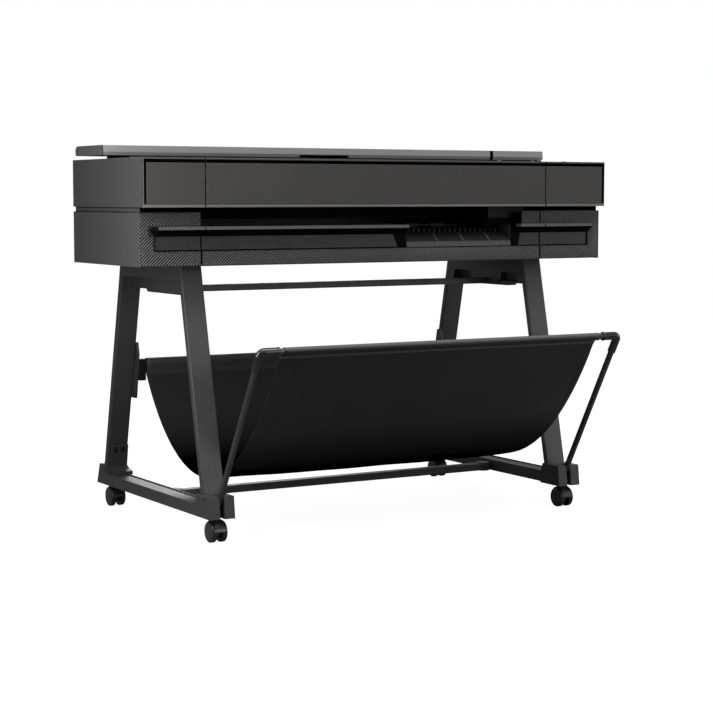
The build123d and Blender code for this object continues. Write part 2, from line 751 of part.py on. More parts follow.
def make_roll_cover():
    """The lid over the roll: a hollow slab with a finger notch, and ears on the hinge axis."""
    x = lid_span
    with BuildPart() as roll_cover:
        prism(slab_outline(0), x)
        soften = roll_cover.edges().filter_by(Axis.X).group_by(Axis.Z)[-1]
        fillet(soften, radius=1.5)
        hollow = slab_outline(wall)
        hollow[0] = (hollow[0][0], lid_bottom - 1)
        hollow[-1] = (hollow[-1][0], lid_bottom - 1)
        prism(hollow, (x[0] + wall, x[1] - wall), mode=Mode.SUBTRACT)
        box((-112.0, 33.0), (stand_y - 1, stand_y + 12), (lid_bottom - 1, lid_bottom + 6), mode=Mode.SUBTRACT)
        for ear in (-400.0, 0.0, 380.0):
            ear_x = (ear, ear + 20)
            box(ear_x, (lid_axis[0] - 4, lid_axis[0] + 3), (lid_axis[1], lid_bottom + 3))
            rod_along_x(*lid_axis, 4.0, ear_x)
            rod_along_x(*lid_axis, 2.0 + slack, ear_x, mode=Mode.SUBTRACT)
    save(roll_cover, "roll_cover")


def make_roll_deck():
    """The deck behind the door, with the roll opening, its raised rim and the lid's hinge pins."""
    x = (left_seam + seam_gap / 2, right_seam - seam_gap / 2)
    opening_x = (-488.0, 456.0)
    opening_y = (stand_y + 18, stand_y + 148)
    with BuildPart() as roll_deck:
        box(x, (stand_y - 2, body_back), (body_top - wall, body_top))
        box((-575.0, x[1]), (stand_y + 4, stand_y + 150), (body_top, rim_top))
        box(opening_x, opening_y, (body_top - wall, lid_bottom), mode=Mode.SUBTRACT)
        for ear in (-400.0, 0.0, 380.0):
            for low in (ear - 9, ear + 21):
                ear_x = (low, low + 8)
                box(ear_x, (lid_axis[0] - 4, lid_axis[0] + 2.5), (body_top, lid_axis[1]))
                rod_along_x(*lid_axis, 3.5, ear_x)
            rod_along_x(*lid_axis, 2.0, (ear - 5, ear + 25))
    save(roll_deck, "roll_deck")


def make_control_panel():
    """The tilting control panel, which carries on the line of the lid slab."""
    x = panel_span
    screen = (stand_y + 45, stand_y + 145)
    with BuildPart() as control_panel:
        prism(slab_outline(0), x)
        soften = control_panel.edges().filter_by(Axis.X).group_by(Axis.Z)[-1]
        fillet(soften, radius=1.5)
        hollow = slab_outline(wall)
        hollow[0] = (hollow[0][0], lid_bottom - 1)
        hollow[-1] = (hollow[-1][0], lid_bottom - 1)
        prism(hollow, (x[0] + wall, x[1] - wall), mode=Mode.SUBTRACT)
        box((x[0] + 14, x[1] - 14), screen, (lid_top - 1.2, lid_top), mode=Mode.SUBTRACT)
        for ear in (501.0, 611.0):
            ear_x = (ear, ear + 10)
            box(ear_x, (panel_axis[0] - 2, panel_axis[0] + 6), (panel_axis[1], lid_bottom + 8))
            rod_along_x(*panel_axis, 3.5, ear_x)
        rod_along_x(*panel_axis, 2.0, (491.0, 505.0))
        rod_along_x(*panel_axis, 2.0, (615.0, 631.0))
    save(control_panel, "control_panel")


def make_rear_cover():
    """The wall between the end covers at the back, with a groove at the neck and flanges behind the seams."""
    x = (left_seam + seam_gap / 2, right_seam - seam_gap / 2)
    flange_y = (body_back - 2 * wall, body_back - wall)
    lower_flange = (body_bottom, lower_top - wall - 0.2)
    upper_flange = (upper_bottom + 0.2, body_top - wall - 0.2)
    with BuildPart() as rear_cover:
        box(x, (body_back - wall, body_back), (body_bottom, body_top - wall))
        box(x, (body_back - 1.5, body_back), (lower_top, upper_bottom), mode=Mode.SUBTRACT)
        for flange_x in ((left_seam - 8, x[0] + 8), (x[1] - 8, right_seam + 8)):
            for flange_z in (lower_flange, upper_flange):
                box(flange_x, flange_y, flange_z)
    save(rear_cover, "rear_cover")


# ---- mechanism ----------------------------------------------------------------------------------
def make_paper_path():
    """Ramp, platen, feed roller and pinch roller."""
    ramp_y = (lower_front + 1, stand_y - 120.0)
    slope = [
        (ramp_y[0], pocket_bottom + 1.5),
        (ramp_y[0] + 1, pocket_bottom + 14),
        (ramp_y[0] + 32, platen_top - 10),
        (ramp_y[1], platen_top - 3),
        (ramp_y[1], platen_top - 7),
        (ramp_y[0] + 34, platen_top - 14),
        (ramp_y[0] + 4, pocket_bottom + 10),
        (ramp_y[0] + 3, pocket_bottom + 1.5),
    ]
    cheek = [
        (lower_front + fascia, pocket_bottom),
        (lower_front + fascia, lip_top - 1),
        (ramp_y[1], platen_top - 3),
        (ramp_y[1], pocket_bottom),
    ]
    with BuildPart() as output_ramp:
        prism(slope, (ramp_left + 1, ramp_right - 1))
        for x in ((ramp_left - 14, ramp_left + 1), (ramp_right - 1, ramp_right + 12)):
            prism(cheek, x)
        flange_y = (lower_front + fascia, lower_front + fascia + wall)
        flange_z = (pocket_bottom, lip_top - 1)
        for x in ((mouth_left - 26, ramp_left + 1), (ramp_right - 1, slot_right + 2)):
            box(x, flange_y, flange_z)
    save(output_ramp, "output_ramp")

    table_front = lower_front + fascia + wall + 1
    x = (upright_left[1] + 1, upright_right[0] - 1)
    platen_z = (platen_top - 4, platen_top)
    station_x = 394.0
    with BuildPart() as platen:
        box(x, (ramp_y[1] + 1, roller_y - roller_radius - 2), platen_z)
        box((x[0], ramp_left - 16), (table_front, ramp_y[1] + 1), platen_z)
        box((station_x, x[1]), (stand_y - 185.0, ramp_y[1] + 1), platen_z)
        for rib in range(24):
            low = x[0] + 12 + rib * 37.0
            if low < station_x - 20:
                rib_y = (ramp_y[1] + 4, roller_y - roller_radius - 6)
                box((low, low + 2), rib_y, (platen_top, platen_top + 0.8))
        box((station_x + 4, x[1] - 6), (stand_y - 180, stand_y - 105), platen_z, mode=Mode.SUBTRACT)
    save(platen, "platen")

    with BuildPart() as service_station:
        box((station_x + 5, x[1] - 7), (stand_y - 179, stand_y - 106), (pan_top, platen_top))
        basin = (platen_top - 6, platen_top)
        box((station_x + 9, x[1] - 11), (stand_y - 175, stand_y - 110), basin, mode=Mode.SUBTRACT)
        for cap in (0, 1, 2):
            low = station_x + 13 + cap * 18
            box((low, low + 12), (stand_y - 165, stand_y - 120), (platen_top - 7, platen_top - 1))
    save(service_station, "service_station")

    with BuildPart() as feed_roller:
        rod_along_x(roller_y, roller_z, roller_radius, (x[0] + 2, x[1] - 2))
        rod_along_x(roller_y, roller_z, 4.0, (upright_left[0] - 6, upright_right[1] + 6))
        key_x = (upright_left[0] - 9, upright_left[0] - 6)
        box(key_x, (roller_y - 3, roller_y + 3), (roller_z - 3, roller_z + 3))
    save(feed_roller, "feed_roller")
    with BuildPart() as pinch_roller:
        rod_along_x(roller_y, pinch_z, 2.5, (upright_left[0] - 3, upright_right[1] + 3))
        for row in range(12):
            low = x[0] + 20 + row * 79.0
            rod_along_x(roller_y, pinch_z, pinch_radius, (low, low + 40))
    save(pinch_roller, "pinch_roller")


def make_carriage_drive():
    """Guide rod and back plate, the carriage, and its belt, pulleys and motor."""
    plate_x = (upright_left[1], upright_right[0])
    with BuildPart() as carriage_rail:
        box(plate_x, beam_plate, (748.0, 846.0))
        for z in (748.0, 843.0):
            box(plate_x, (beam_plate[1], beam_plate[1] + 14), (z, z + 3))
        for x in (drive_pulley_x, idler_pulley_x):
            rod_along_y(x, belt_z, 2.5 + slack, (beam_plate[0] - 1, beam_plate[1] + 1), mode=Mode.SUBTRACT)
        rod_along_x(guide_rod_y, guide_rod_z, guide_rod_radius, (upright_left[0], upright_right[1]))
        for x in ((plate_x[0], plate_x[0] + 8), (plate_x[1] - 8, plate_x[1])):
            box(x, (guide_rod_y, beam_plate[0]), (guide_rod_z - 6, guide_rod_z + 6))
    save(carriage_rail, "carriage_rail")

    x = (carriage_x - carriage_width / 2, carriage_x + carriage_width / 2)
    front = stand_y - 200.0
    with BuildPart() as carriage:
        prism(
            [
                (front + 12, platen_top + 5),
                (stand_y - 95.0, platen_top + 5),
                (stand_y - 95.0, 760.0),
                (stand_y - 60.0, 770.0),
                (stand_y - 60.0, 806.0),
                (stand_y - 95.0, 812.0),
                (stand_y - 95.0, 850.0),
                (front + 26, 850.0),
                (front, 826.0),
                (front, 748.0),
            ],
            x,
        )
        edges = carriage.edges().filter_by(Axis.X).filter_by(lambda e: e.center().Y < front + 30)
        fillet(edges, radius=6)
        rod_along_x(guide_rod_y, guide_rod_z, guide_rod_radius + slack, x, mode=Mode.SUBTRACT)
        for slot in range(4):
            low = x[0] + 8 + slot * 24.5
            box((low, low + 20.5), (front + 30, stand_y - 105), (815.0, 851.0), mode=Mode.SUBTRACT)
    save(carriage, "carriage")

    thickness = 1.5
    belt_outer = pulley_radius + thickness
    with BuildPart() as carriage_belt:
        for radius, mode in ((belt_outer, Mode.ADD), (pulley_radius + 0.1, Mode.SUBTRACT)):
            rod_along_y(drive_pulley_x, belt_z, radius, belt_span, mode=mode)
            rod_along_y(idler_pulley_x, belt_z, radius, belt_span, mode=mode)
            box((idler_pulley_x, drive_pulley_x), belt_span, (belt_z - radius, belt_z + radius), mode=mode)
    save(carriage_belt, "carriage_belt")
    for name, x in (("drive_pulley", drive_pulley_x), ("idler_pulley", idler_pulley_x)):
        reach = 12.0 if name == "drive_pulley" else 3.0
        with BuildPart() as pulley:
            rod_along_y(x, belt_z, pulley_radius, (belt_span[0] - 0.5, belt_span[1] + 0.5))
            rod_along_y(x, belt_z, pulley_radius + 2.5, (belt_span[0] - 2, belt_span[0] - 0.5))
            rod_along_y(x, belt_z, 2.5, (belt_span[1], beam_plate[1] + reach))
        save(pulley, name)
    with BuildPart() as carriage_motor:
        body = (beam_plate[1], beam_plate[1] + 46)
        rod_along_y(drive_pulley_x, belt_z, 20.0, body)
        fillet(carriage_motor.edges().group_by(Axis.Y)[-1], radius=2)
        rod_along_y(drive_pulley_x, belt_z, 2.5 + slack, (body[0], body[0] + 14), mode=Mode.SUBTRACT)
    save(carriage_motor, "carriage_motor")


def make_roll():
    """Roll spindle with its end hubs, and the paper roll on it."""
    hub = 36.0
    with BuildPart() as roll_spindle:
        rod_along_x(roll_y, roll_z, spindle_radius, (upright_left[0] - 4, upright_right[1] + 4))
        for end, direction in ((paper_span[0], 1), (paper_span[1], -1)):
            flange = (end - 10, end) if direction > 0 else (end, end + 10)
            spigot = (end, end + 24) if direction > 0 else (end - 24, end)
            rod_along_x(roll_y, roll_z, hub, flange)
            rod_along_x(roll_y, roll_z, core_radius - 0.4, spigot)
    save(roll_spindle, "roll_spindle")
    with BuildPart() as paper_roll:
        rod_along_x(roll_y, roll_z, roll_radius, paper_span)
        rod_along_x(roll_y, roll_z, core_radius, paper_span, mode=Mode.SUBTRACT)
    save(paper_roll, "paper_roll")


def make_bays():
    """Ink cartridges in the right bay and the electronics box in the left bay."""
    with BuildPart() as ink_cartridges:
        for index in range(4):
            low = 484.0 + index * 41.0
            box((low, low + 36), (stand_y - 212, stand_y - 70), (pan_top, pan_top + 95))
        upright = ink_cartridges.edges().filter_by(Axis.Z)
        fillet(upright, radius=3)
    save(ink_cartridges, "ink_cartridges")
    with BuildPart() as electronics_box:
        box((-645.0, -520.0), (stand_y - 150, stand_y + 110), (pan_top, pan_top + 90))
        chamfer(electronics_box.edges().filter_by(Axis.Z), length=2)
        for slot in range(6):
            low = stand_y - 110.0 + slot * 34
            box((-630.0, -535.0), (low, low + 8), (pan_top + 89, pan_top + 90), mode=Mode.SUBTRACT)
    save(electronics_box, "electronics_box")


for side, sign in sides:
    make_top_cap(side, sign)
    make_leg(side, sign, front=True)
    make_leg(side, sign, front=False)
    make_foot_beam(side, sign)
    make_castor(f"front_{side}", sign * castor_x, stand_y - castor_y)
    make_castor(f"rear_{side}", sign * castor_x, stand_y + castor_y)
make_crossbars()
make_bin_bar()
make_bolts()
make_bin_frame()
make_trough()
make_chassis()
make_lower_covers()
make_power_inlet()
make_fascias()
make_top_covers()
make_front_door()
make_roll_cover()
make_roll_deck()
make_control_panel()
make_rear_cover()
make_paper_path()
make_carriage_drive()
make_roll()
make_bays()
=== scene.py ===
import math

import bmesh
import bpy
import numpy as np
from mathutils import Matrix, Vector


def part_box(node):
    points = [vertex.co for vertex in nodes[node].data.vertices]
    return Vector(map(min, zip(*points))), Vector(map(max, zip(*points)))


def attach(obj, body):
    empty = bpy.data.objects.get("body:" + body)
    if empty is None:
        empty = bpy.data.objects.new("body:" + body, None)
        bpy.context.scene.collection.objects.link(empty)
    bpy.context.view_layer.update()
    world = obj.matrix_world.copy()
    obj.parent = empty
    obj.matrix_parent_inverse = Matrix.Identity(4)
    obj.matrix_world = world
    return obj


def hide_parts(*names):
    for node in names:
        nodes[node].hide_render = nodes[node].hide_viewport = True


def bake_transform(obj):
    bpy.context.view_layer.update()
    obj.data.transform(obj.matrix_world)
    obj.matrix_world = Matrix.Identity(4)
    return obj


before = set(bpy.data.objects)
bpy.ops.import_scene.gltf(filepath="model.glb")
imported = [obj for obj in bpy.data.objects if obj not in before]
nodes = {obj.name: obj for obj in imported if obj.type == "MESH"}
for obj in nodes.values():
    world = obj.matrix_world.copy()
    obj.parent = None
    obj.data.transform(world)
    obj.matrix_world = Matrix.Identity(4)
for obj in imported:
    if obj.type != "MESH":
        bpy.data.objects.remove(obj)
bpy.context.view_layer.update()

# A large format plotter on its stand. Metres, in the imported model's own frame:
# +X to the right, front towards -Y, +Z up, the floor at z = 0.

millimetre = 0.001
X, Y, Z = 0, 1, 2


# ---- places read from the frame -----------------------------------------------------------------
def span(node, axis):
    """The lowest and highest value of a node along one axis."""
    low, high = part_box(node)
    return low[axis], high[axis]


tube_low, tube_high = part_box("bin_front_tube")
tube_y = (tube_low[Y] + tube_high[Y]) / 2
tube_z = (tube_low[Z] + tube_high[Z]) / 2
tube_radius = (tube_high[Z] - tube_low[Z]) / 2
bar_low, bar_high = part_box("bin_rear_bar")
bar_y = (bar_low[Y] + bar_high[Y]) / 2
bar_z = (bar_low[Z] + bar_high[Z]) / 2
cloth_low, cloth_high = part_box("bin_fabric")
upper_front = span("left_top_cover", Y)[0]
upper_bottom, upper_top = span("left_top_cover", Z)
panel_bottom, panel_top = span("front_panel_centre", Z)
body_left = span("left_lower_cover", X)[0]
body_bottom = span("left_lower_cover", Z)[0]
lower_top = span("ink_door", Z)[1]
lower_front = span("right_lower_cover", Y)[0]
lip_front = span("centre_fascia", Y)[0]
left_seam = span("left_fascia", X)[1]
right_seam, door_right = span("ink_door", X)
lid_thickness = 24.0 * millimetre
lid_left, lid_end = span("roll_cover", X)
lid_front = span("roll_cover", Y)[0]
lid_bottom = span("control_panel", Z)[1] - lid_thickness
panel_end = span("control_panel", X)[0]

# Places on the lower front: heights above the bottom of the body, and distances from the middle.
pocket_end = 622.0 * millimetre
lip_end = 620.0 * millimetre
ramp_left, ramp_right = 61.5 * millimetre, 376.5 * millimetre
pocket_low = body_bottom + 35.5 * millimetre
lip_low = body_bottom + 70.0 * millimetre
lip_nose = body_bottom + 85.0 * millimetre
lip_high = body_bottom + 92.4 * millimetre


# ---- line of the catch bin cloth ----------------------------------------------------------------
cloth_thickness = 1.0 * millimetre
cloth_clearance = 1.6 * millimetre
layer_step = 1.6 * millimetre
front_seam_run = 15.0 * millimetre
front_hem = 9.0 * millimetre
rear_seam_drop = 22.0 * millimetre
rear_sleeve_slack = 1.25
row_spacing = 6.0 * millimetre

# The trough hangs on a cubic curve from the rear seam to where it touches the sleeve round the tube.
# Each end has a handle: how far it stands towards the middle of the trough, and its height.
rear_reach, rear_height = 144.0 * millimetre, 91.0 * millimetre
front_reach, front_height = 277.5 * millimetre, -46.0 * millimetre
trough_rear = Vector((0, cloth_high[Y] - 2.0 * millimetre, bar_low[Z] - rear_seam_drop))
rear_handle = Vector((0, trough_rear[Y] - rear_reach, rear_height))
front_handle = Vector((0, tube_y + front_reach, front_height))
tube_centre = Vector((0, tube_y, tube_z))
sleeve_radius = tube_radius + cloth_clearance
to_handle = front_handle - tube_centre
touch = math.atan2(to_handle[Z], to_handle[Y]) + math.acos(sleeve_radius / to_handle.length)
sleeve_normal = Vector((0, math.cos(touch), math.sin(touch)))
trough_front = tube_centre + sleeve_normal * sleeve_radius
front_run = (front_handle - trough_front).normalized()
front_seam = trough_front + front_run * front_seam_run


def bezier(points, t):
    """A point on a cubic curve."""
    a, b, c, d = points
    return a * (1 - t) ** 3 + b * 3 * t * (1 - t) ** 2 + c * 3 * t * t * (1 - t) + d * t ** 3


def arc(centre, radius, start, end, steps):
    """Points on an arc in the YZ plane, its angles in radians from +Y towards +Z."""
    for step in range(steps + 1):
        angle = start + (end - start) * step / steps
        yield centre + Vector((0, radius * math.cos(angle), radius * math.sin(angle)))


def cloth_line():
    """The cloth's section from the rear hem, round the rear bar, down the trough and round the tube."""
    bar_steps, trough_steps, tube_steps = 16, 110, 30
    rear_radius = (bar_high[Y] - bar_low[Y]) / 2 * rear_sleeve_slack + cloth_clearance
    trough = (trough_rear, rear_handle, front_handle, trough_front)
    leave = 2 * math.pi + touch - 2 * math.atan(front_seam_run / sleeve_radius)
    doubled = front_seam - sleeve_normal * layer_step
    line = [trough_rear + Vector((0, layer_step, 0))]
    line += arc(Vector((0, bar_y, bar_z)), rear_radius, 0.0, math.pi, bar_steps)
    line += [bezier(trough, step / trough_steps) for step in range(trough_steps + 1)]
    line += arc(tube_centre, sleeve_radius, touch, leave, tube_steps)
    line += [doubled, doubled + front_run * front_hem]
    return line


def spread(line, spacing):
    """The same line with its points evenly spaced, and the length along it at each."""
    lengths = [0.0]
    for a, b in zip(line, line[1:]):
        lengths.append(lengths[-1] + (b - a).length)
    marks = np.linspace(0, lengths[-1], round(lengths[-1] / spacing) + 1)
    points = [np.interp(marks, lengths, [point[axis] for point in line]) for axis in (X, Y, Z)]
    return [Vector(point) for point in zip(*points)], marks


cloth_points, cloth_marks = spread(cloth_line(), row_spacing)
cloth_length = cloth_marks[-1]


# ---- material building blocks -------------------------------------------------------------------
def shade(colour, factor):
    """A colour made lighter or darker, and opaque."""
    return [c * factor for c in colour[:3]] + [1.0]


def grey(value, warmth=0.0):
    """A neutral colour, or one that leans to red by warmth."""
    return (value * (1 + warmth), value, value, 1.0)


black = grey(0.0015)


class Finish:
    """One procedural material: its nodes read the object's own coordinates, in metres."""

    # Places of a Mix node's colour sockets, which share their names with its other kinds of socket.
    mix_share, mix_low, mix_high, mix_result = 0, 6, 7, 2

    def __init__(self, name, **sockets):
        self.material = bpy.data.materials.new(name)
        self.material.use_nodes = True
        self.tree = self.material.node_tree
        self.shader = self.tree.nodes["Principled BSDF"]
        for socket, value in sockets.items():
            self.shader.inputs[socket.replace("_", " ")].default_value = value
        self.place = self.add("ShaderNodeTexCoord").outputs["Object"]
        split = self.add("ShaderNodeSeparateXYZ", Vector=self.place)
        self.x, self.y, self.z = split.outputs

    def add(self, kind, settings=None, **inputs):
        """A new node, with values or other nodes' outputs on its inputs."""
        node = self.tree.nodes.new(kind)
        for setting, value in (settings or {}).items():
            setattr(node, setting, value)
        for socket, value in inputs.items():
            self.feed(node, socket.replace("_", " "), value)
        return node

    def feed(self, node, socket, value):
        """Puts a value or another node's output on an input."""
        target = node.inputs[socket]
        if isinstance(value, bpy.types.NodeSocket):
            self.tree.links.new(value, target)
        else:
            target.default_value = value

    def calc(self, operation, first, second=0.0):
        """The result of a Math node."""
        node = self.add("ShaderNodeMath", {"operation": operation})
        self.feed(node, 0, first)
        self.feed(node, 1, second)
        return node.outputs[0]

    def times(self, first, second):
        """The product, which for two masks is 1 where both are 1."""
        return self.calc("MULTIPLY", first, second)

    def either(self, first, second):
        """The larger, which for two masks is 1 where one of them is 1."""
        return self.calc("MAXIMUM", first, second)

    def above(self, value, limit):
        """1 where value > limit, else 0."""
        return self.calc("GREATER_THAN", value, limit)

    def below(self, value, limit):
        """1 where value < limit, else 0."""
        return self.calc("LESS_THAN", value, limit)

    def within(self, value, low, high):
        """1 where low < value < high, else 0."""
        return self.times(self.above(value, low), self.below(value, high))

    def size(self, value):
        """The value without its sign."""
        return self.calc("ABSOLUTE", value)

    def between(self, value, low, high, out_low=0.0, out_high=1.0):
        """Maps low..high to out_low..out_high and holds it there outside."""
        limits = {"From_Min": low, "From_Max": high, "To_Min": out_low, "To_Max": out_high}
        return self.add("ShaderNodeMapRange", Value=value, **limits).outputs[0]

    def noise(self, size, detail=2.0, stretch=(1.0, 1.0, 1.0)):
        """Noise whose lumps are about size metres across, drawn out along the axes by stretch."""
        scale = [1.0 / s for s in stretch]
        place = self.add("ShaderNodeMapping", Vector=self.place, Scale=scale)
        made = self.add("ShaderNodeTexNoise", Vector=place.outputs[0], Scale=1.0 / size, Detail=detail)
        return made.outputs["Fac"]

    def mix(self, share, low, high):
        """A colour between two others."""
        node = self.add("ShaderNodeMix", {"data_type": "RGBA"})
        self.feed(node, self.mix_share, share)
        self.feed(node, self.mix_low, low)
        self.feed(node, self.mix_high, high)
        return node.outputs[self.mix_result]

    def rounded(self, radius):
        """The surface's normal with its edges rounded off."""
        return self.add("ShaderNodeBevel", {"samples": 4}, Radius=radius).outputs[0]

    def edges(self, radius):
        """1 along edges and corners, 0 on flats."""
        flat_cosine, edge_cosine = 0.995, 0.8
        geometry = self.add("ShaderNodeNewGeometry")
        dot = self.add("ShaderNodeVectorMath", {"operation": "DOT_PRODUCT"})
        self.feed(dot, 0, self.rounded(radius))
        self.feed(dot, 1, geometry.outputs["Normal"])
        return self.between(dot.outputs["Value"], flat_cosine, edge_cosine)

    def bump(self, height, depth, normal=None):
        """A normal raised by height, depth metres at the most."""
        node = self.add("ShaderNodeBump", Height=height, Distance=depth, Strength=1.0)
        if normal is not None:
            self.feed(node, "Normal", normal)
        return node.outputs[0]

    def colour(self, value):
        self.feed(self.shader, "Base Color", value)

    def roughness(self, value):
        self.feed(self.shader, "Roughness", value)

    def normal(self, value):
        self.feed(self.shader, "Normal", value)

    def paint_over(self, mask, colour, specular=None):
        """Lays another colour over the base colour where mask is 1, and another shine if one is given."""
        base = self.shader.inputs["Base Color"].links[0].from_socket
        self.colour(self.mix(mask, base, colour))
        if specular is not None:
            shine = self.shader.inputs["Specular IOR Level"]
            below = shine.links[0].from_socket if shine.links else shine.default_value
            kept = self.times(self.calc("SUBTRACT", 1.0, mask), below)
            share = self.times(mask, specular)
            self.feed(self.shader, "Specular IOR Level", self.calc("ADD", share, kept))

    def blacken(self, mask, specular=0.0):
        """Black, and without shine unless some is given, where mask is 1."""
        self.paint_over(mask, black, specular)


# ---- materials ----------------------------------------------------------------------------------
# How light each painted area is, from 0 for black to 1 for white.
cover_tone, strip_tone, rim_shade_tone, neck_shadow_line_tone = 0.037, 0.098, 0.012, 0.006
fascia_groove_shade_tone, pocket_tone, lip_tone = 0.004, 0.0125, 0.044
lid_tone, lid_end_tone, lid_joint_tone = 0.16, 0.068, 0.02
ramp_tone, ramp_strip_highlight_tone = 0.012, 0.034
# The cloth's tones are painted shade, painted sheen and painted highlights as much as its own colour.
cloth_shade_tone, cloth_tone, rear_wall_shading_tone = 0.0002, 0.03, 0.009
rear_sleeve_sheen_tone, front_sleeve_highlight_tone, front_hem_highlight_tone = 0.026, 0.075, 0.06

# What is painted on a face is masked by where the face lies, with this much to spare.
mask_slack = 0.2 * millimetre
seam_edge, seam_gap = 0.8 * millimetre, 2.2 * millimetre
panel_floor = (upper_front + 1.5 * millimetre, upper_front + 3.0 * millimetre)
panel_walls = (panel_bottom - 0.8 * millimetre, panel_top + 8.2 * millimetre)
pocket_floor = (lower_front + 2.9 * millimetre, lower_front + 3.1 * millimetre)
pocket_walls = (lower_front + 0.3 * millimetre, lower_front + 2.9 * millimetre)
pocket_outline = 2.8 * millimetre
rim_low = upper_top + 0.3 * millimetre


def moulded(name, colour, rough, specular=0.35, grain=0.5 * millimetre, wear=0.2):
    """Satin moulded plastic: fine spark-eroded grain, slow changes of tone and paler rubbed edges."""
    f = Finish(name, Specular_IOR_Level=specular)
    tone = f.between(f.noise(0.22, 3.0), 0.3, 0.7)
    base = f.mix(tone, shade(colour, 0.95), shade(colour, 1.05))
    patches = f.between(f.noise(0.03), 0.35, 0.6, wear / 2, wear + 0.2)
    rubbed = f.times(f.edges(1.0 * millimetre), patches)
    f.colour(f.mix(rubbed, base, shade(colour, 1.7)))
    f.roughness(f.between(f.noise(0.012, 4.0), 0.3, 0.7, rough - 0.06, rough + 0.06))
    f.normal(f.bump(f.noise(grain, 3.0), 0.03 * millimetre, f.rounded(0.7 * millimetre)))
    return f


def seams(f):
    """1 near the two upright faces that look at each other across a front seam, else 0."""
    left = f.within(f.x, left_seam - seam_edge, left_seam + seam_gap + seam_edge)
    right = f.within(f.x, right_seam - seam_gap - seam_edge, right_seam + seam_edge)
    return f.either(left, right)


def cover_finish():
    """Upper body: satin grey, with a pale strip below, its pockets and seams painted black as shade, and
    its rim on top painted dark as the shade under the lid.
    """
    f = moulded("upper_cover", grey(cover_tone), rough=0.5)
    front = f.within(f.y, upper_front - millimetre, upper_front + millimetre)
    under_panels = f.within(f.z, upper_bottom - millimetre, panel_bottom - 0.5 * millimetre)
    f.paint_over(f.times(front, under_panels), grey(strip_tone))
    # Painted shade: the pocket floors round the front panels are black.
    f.blacken(f.times(f.within(f.y, *panel_floor), f.within(f.z, *panel_walls)))
    # Painted shade: the faces inside the front seams are black.
    f.blacken(f.times(f.below(f.y, upper_front + 8.0 * millimetre), seams(f)))
    # Painted shade: the rim just under the lid is dark.
    f.paint_over(f.within(f.z, rim_low, lid_bottom), grey(rim_shade_tone), specular=0.05)
    return f.material


def deck_finish():
    """The deck under the lid: satin grey, with its raised rim painted dark as the shade under the lid."""
    f = moulded("deck", grey(cover_tone), rough=0.5)
    # Painted shade: the rim under the lid is dark.
    f.paint_over(f.above(f.z, rim_low), grey(rim_shade_tone), specular=0.05)
    return f.material


def lower_cover_finish():
    """Lower end covers: the same plastic, with the inset neck painted black as shade in front, between two
    dark lines of painted shadow.
    """
    f = moulded("lower_cover", grey(cover_tone), rough=0.5)
    neck = f.within(f.z, lower_top + mask_slack, upper_bottom + millimetre)
    # Painted shade: the inset neck is black in front.
    f.blacken(f.times(neck, f.below(f.y, lower_front + 8.5 * millimetre)))
    foot = f.within(f.z, lower_top - 1.0 * millimetre, lower_top + 1.3 * millimetre)
    head = f.within(f.z, upper_bottom - 2.2 * millimetre, upper_bottom + mask_slack)
    # Painted shadow: dark lines at the foot and the head of the neck.
    f.paint_over(f.either(foot, head), grey(neck_shadow_line_tone), specular=0.02)
    return f.material


def fascia_finish():
    """Lower front: near black between its ribs as painted shade, its pocket outlined in black painted
    shade, and a lip painted black as shade below and at its ends.
    """
    # Painted shade: the ground between the ribs is near black; the ribs are a lighter copy of the same
    # plastic.
    f = moulded("fascia", grey(fascia_groove_shade_tone), rough=0.5, wear=0.1)
    from_middle = f.size(f.x)
    f.paint_over(f.below(f.x, body_left + 0.5 * millimetre), grey(cover_tone))
    floor = f.within(f.y, *pocket_floor)
    f.paint_over(floor, grey(pocket_tone))
    near_end = f.above(from_middle, pocket_end - pocket_outline)
    near_low = f.below(f.z, pocket_low + pocket_outline)
    # Painted shade: the pocket's outline along its ends and foot is black.
    f.blacken(f.times(floor, f.either(near_end, near_low)))
    # Painted shade: the faces inside the front seams are black.
    f.blacken(f.times(f.below(f.y, lower_front + 4.0 * millimetre), seams(f)))
    tall = f.within(f.z, pocket_low - mask_slack, lip_low + mask_slack)
    inside = f.below(from_middle, pocket_end + mask_slack)
    # Painted shade: the pocket's walls are black.
    f.blacken(f.times(f.within(f.y, *pocket_walls), f.times(tall, inside)))
    lip = f.within(f.y, lip_front - millimetre, lower_front - 0.8 * millimetre)
    f.paint_over(lip, grey(lip_tone))
    under = f.below(f.z, lip_nose + mask_slack)
    beyond = f.above(from_middle, lip_end + mask_slack)
    # Painted shade: the lip is black below its nose and on its ends.
    f.blacken(f.times(lip, f.either(under, beyond)), specular=0.03)
    return f.material


def lid_finish():
    """Lid and control panel: mid grey, a darker left end with a joint, and painted shade, black, in the gap
    where the two meet.
    """
    f = moulded("lid", grey(lid_tone), rough=0.42)
    f.paint_over(f.below(f.x, lid_left + mask_slack), grey(lid_end_tone))
    front = f.below(f.y, lid_front + 5.0 * millimetre)
    unworn_foot = f.below(f.z, lid_bottom + 8.0 * millimetre)
    f.paint_over(f.times(front, unworn_foot), grey(lid_tone))
    joint = f.within(f.x, lid_left + mask_slack, lid_left + 4.0 * millimetre)
    f.paint_over(f.times(front, joint), grey(lid_joint_tone))
    # Painted shade: the gap between the lid and the control panel is black.
    f.blacken(f.within(f.x, lid_end - 0.5 * millimetre, panel_end + 0.5 * millimetre))
    return f.material


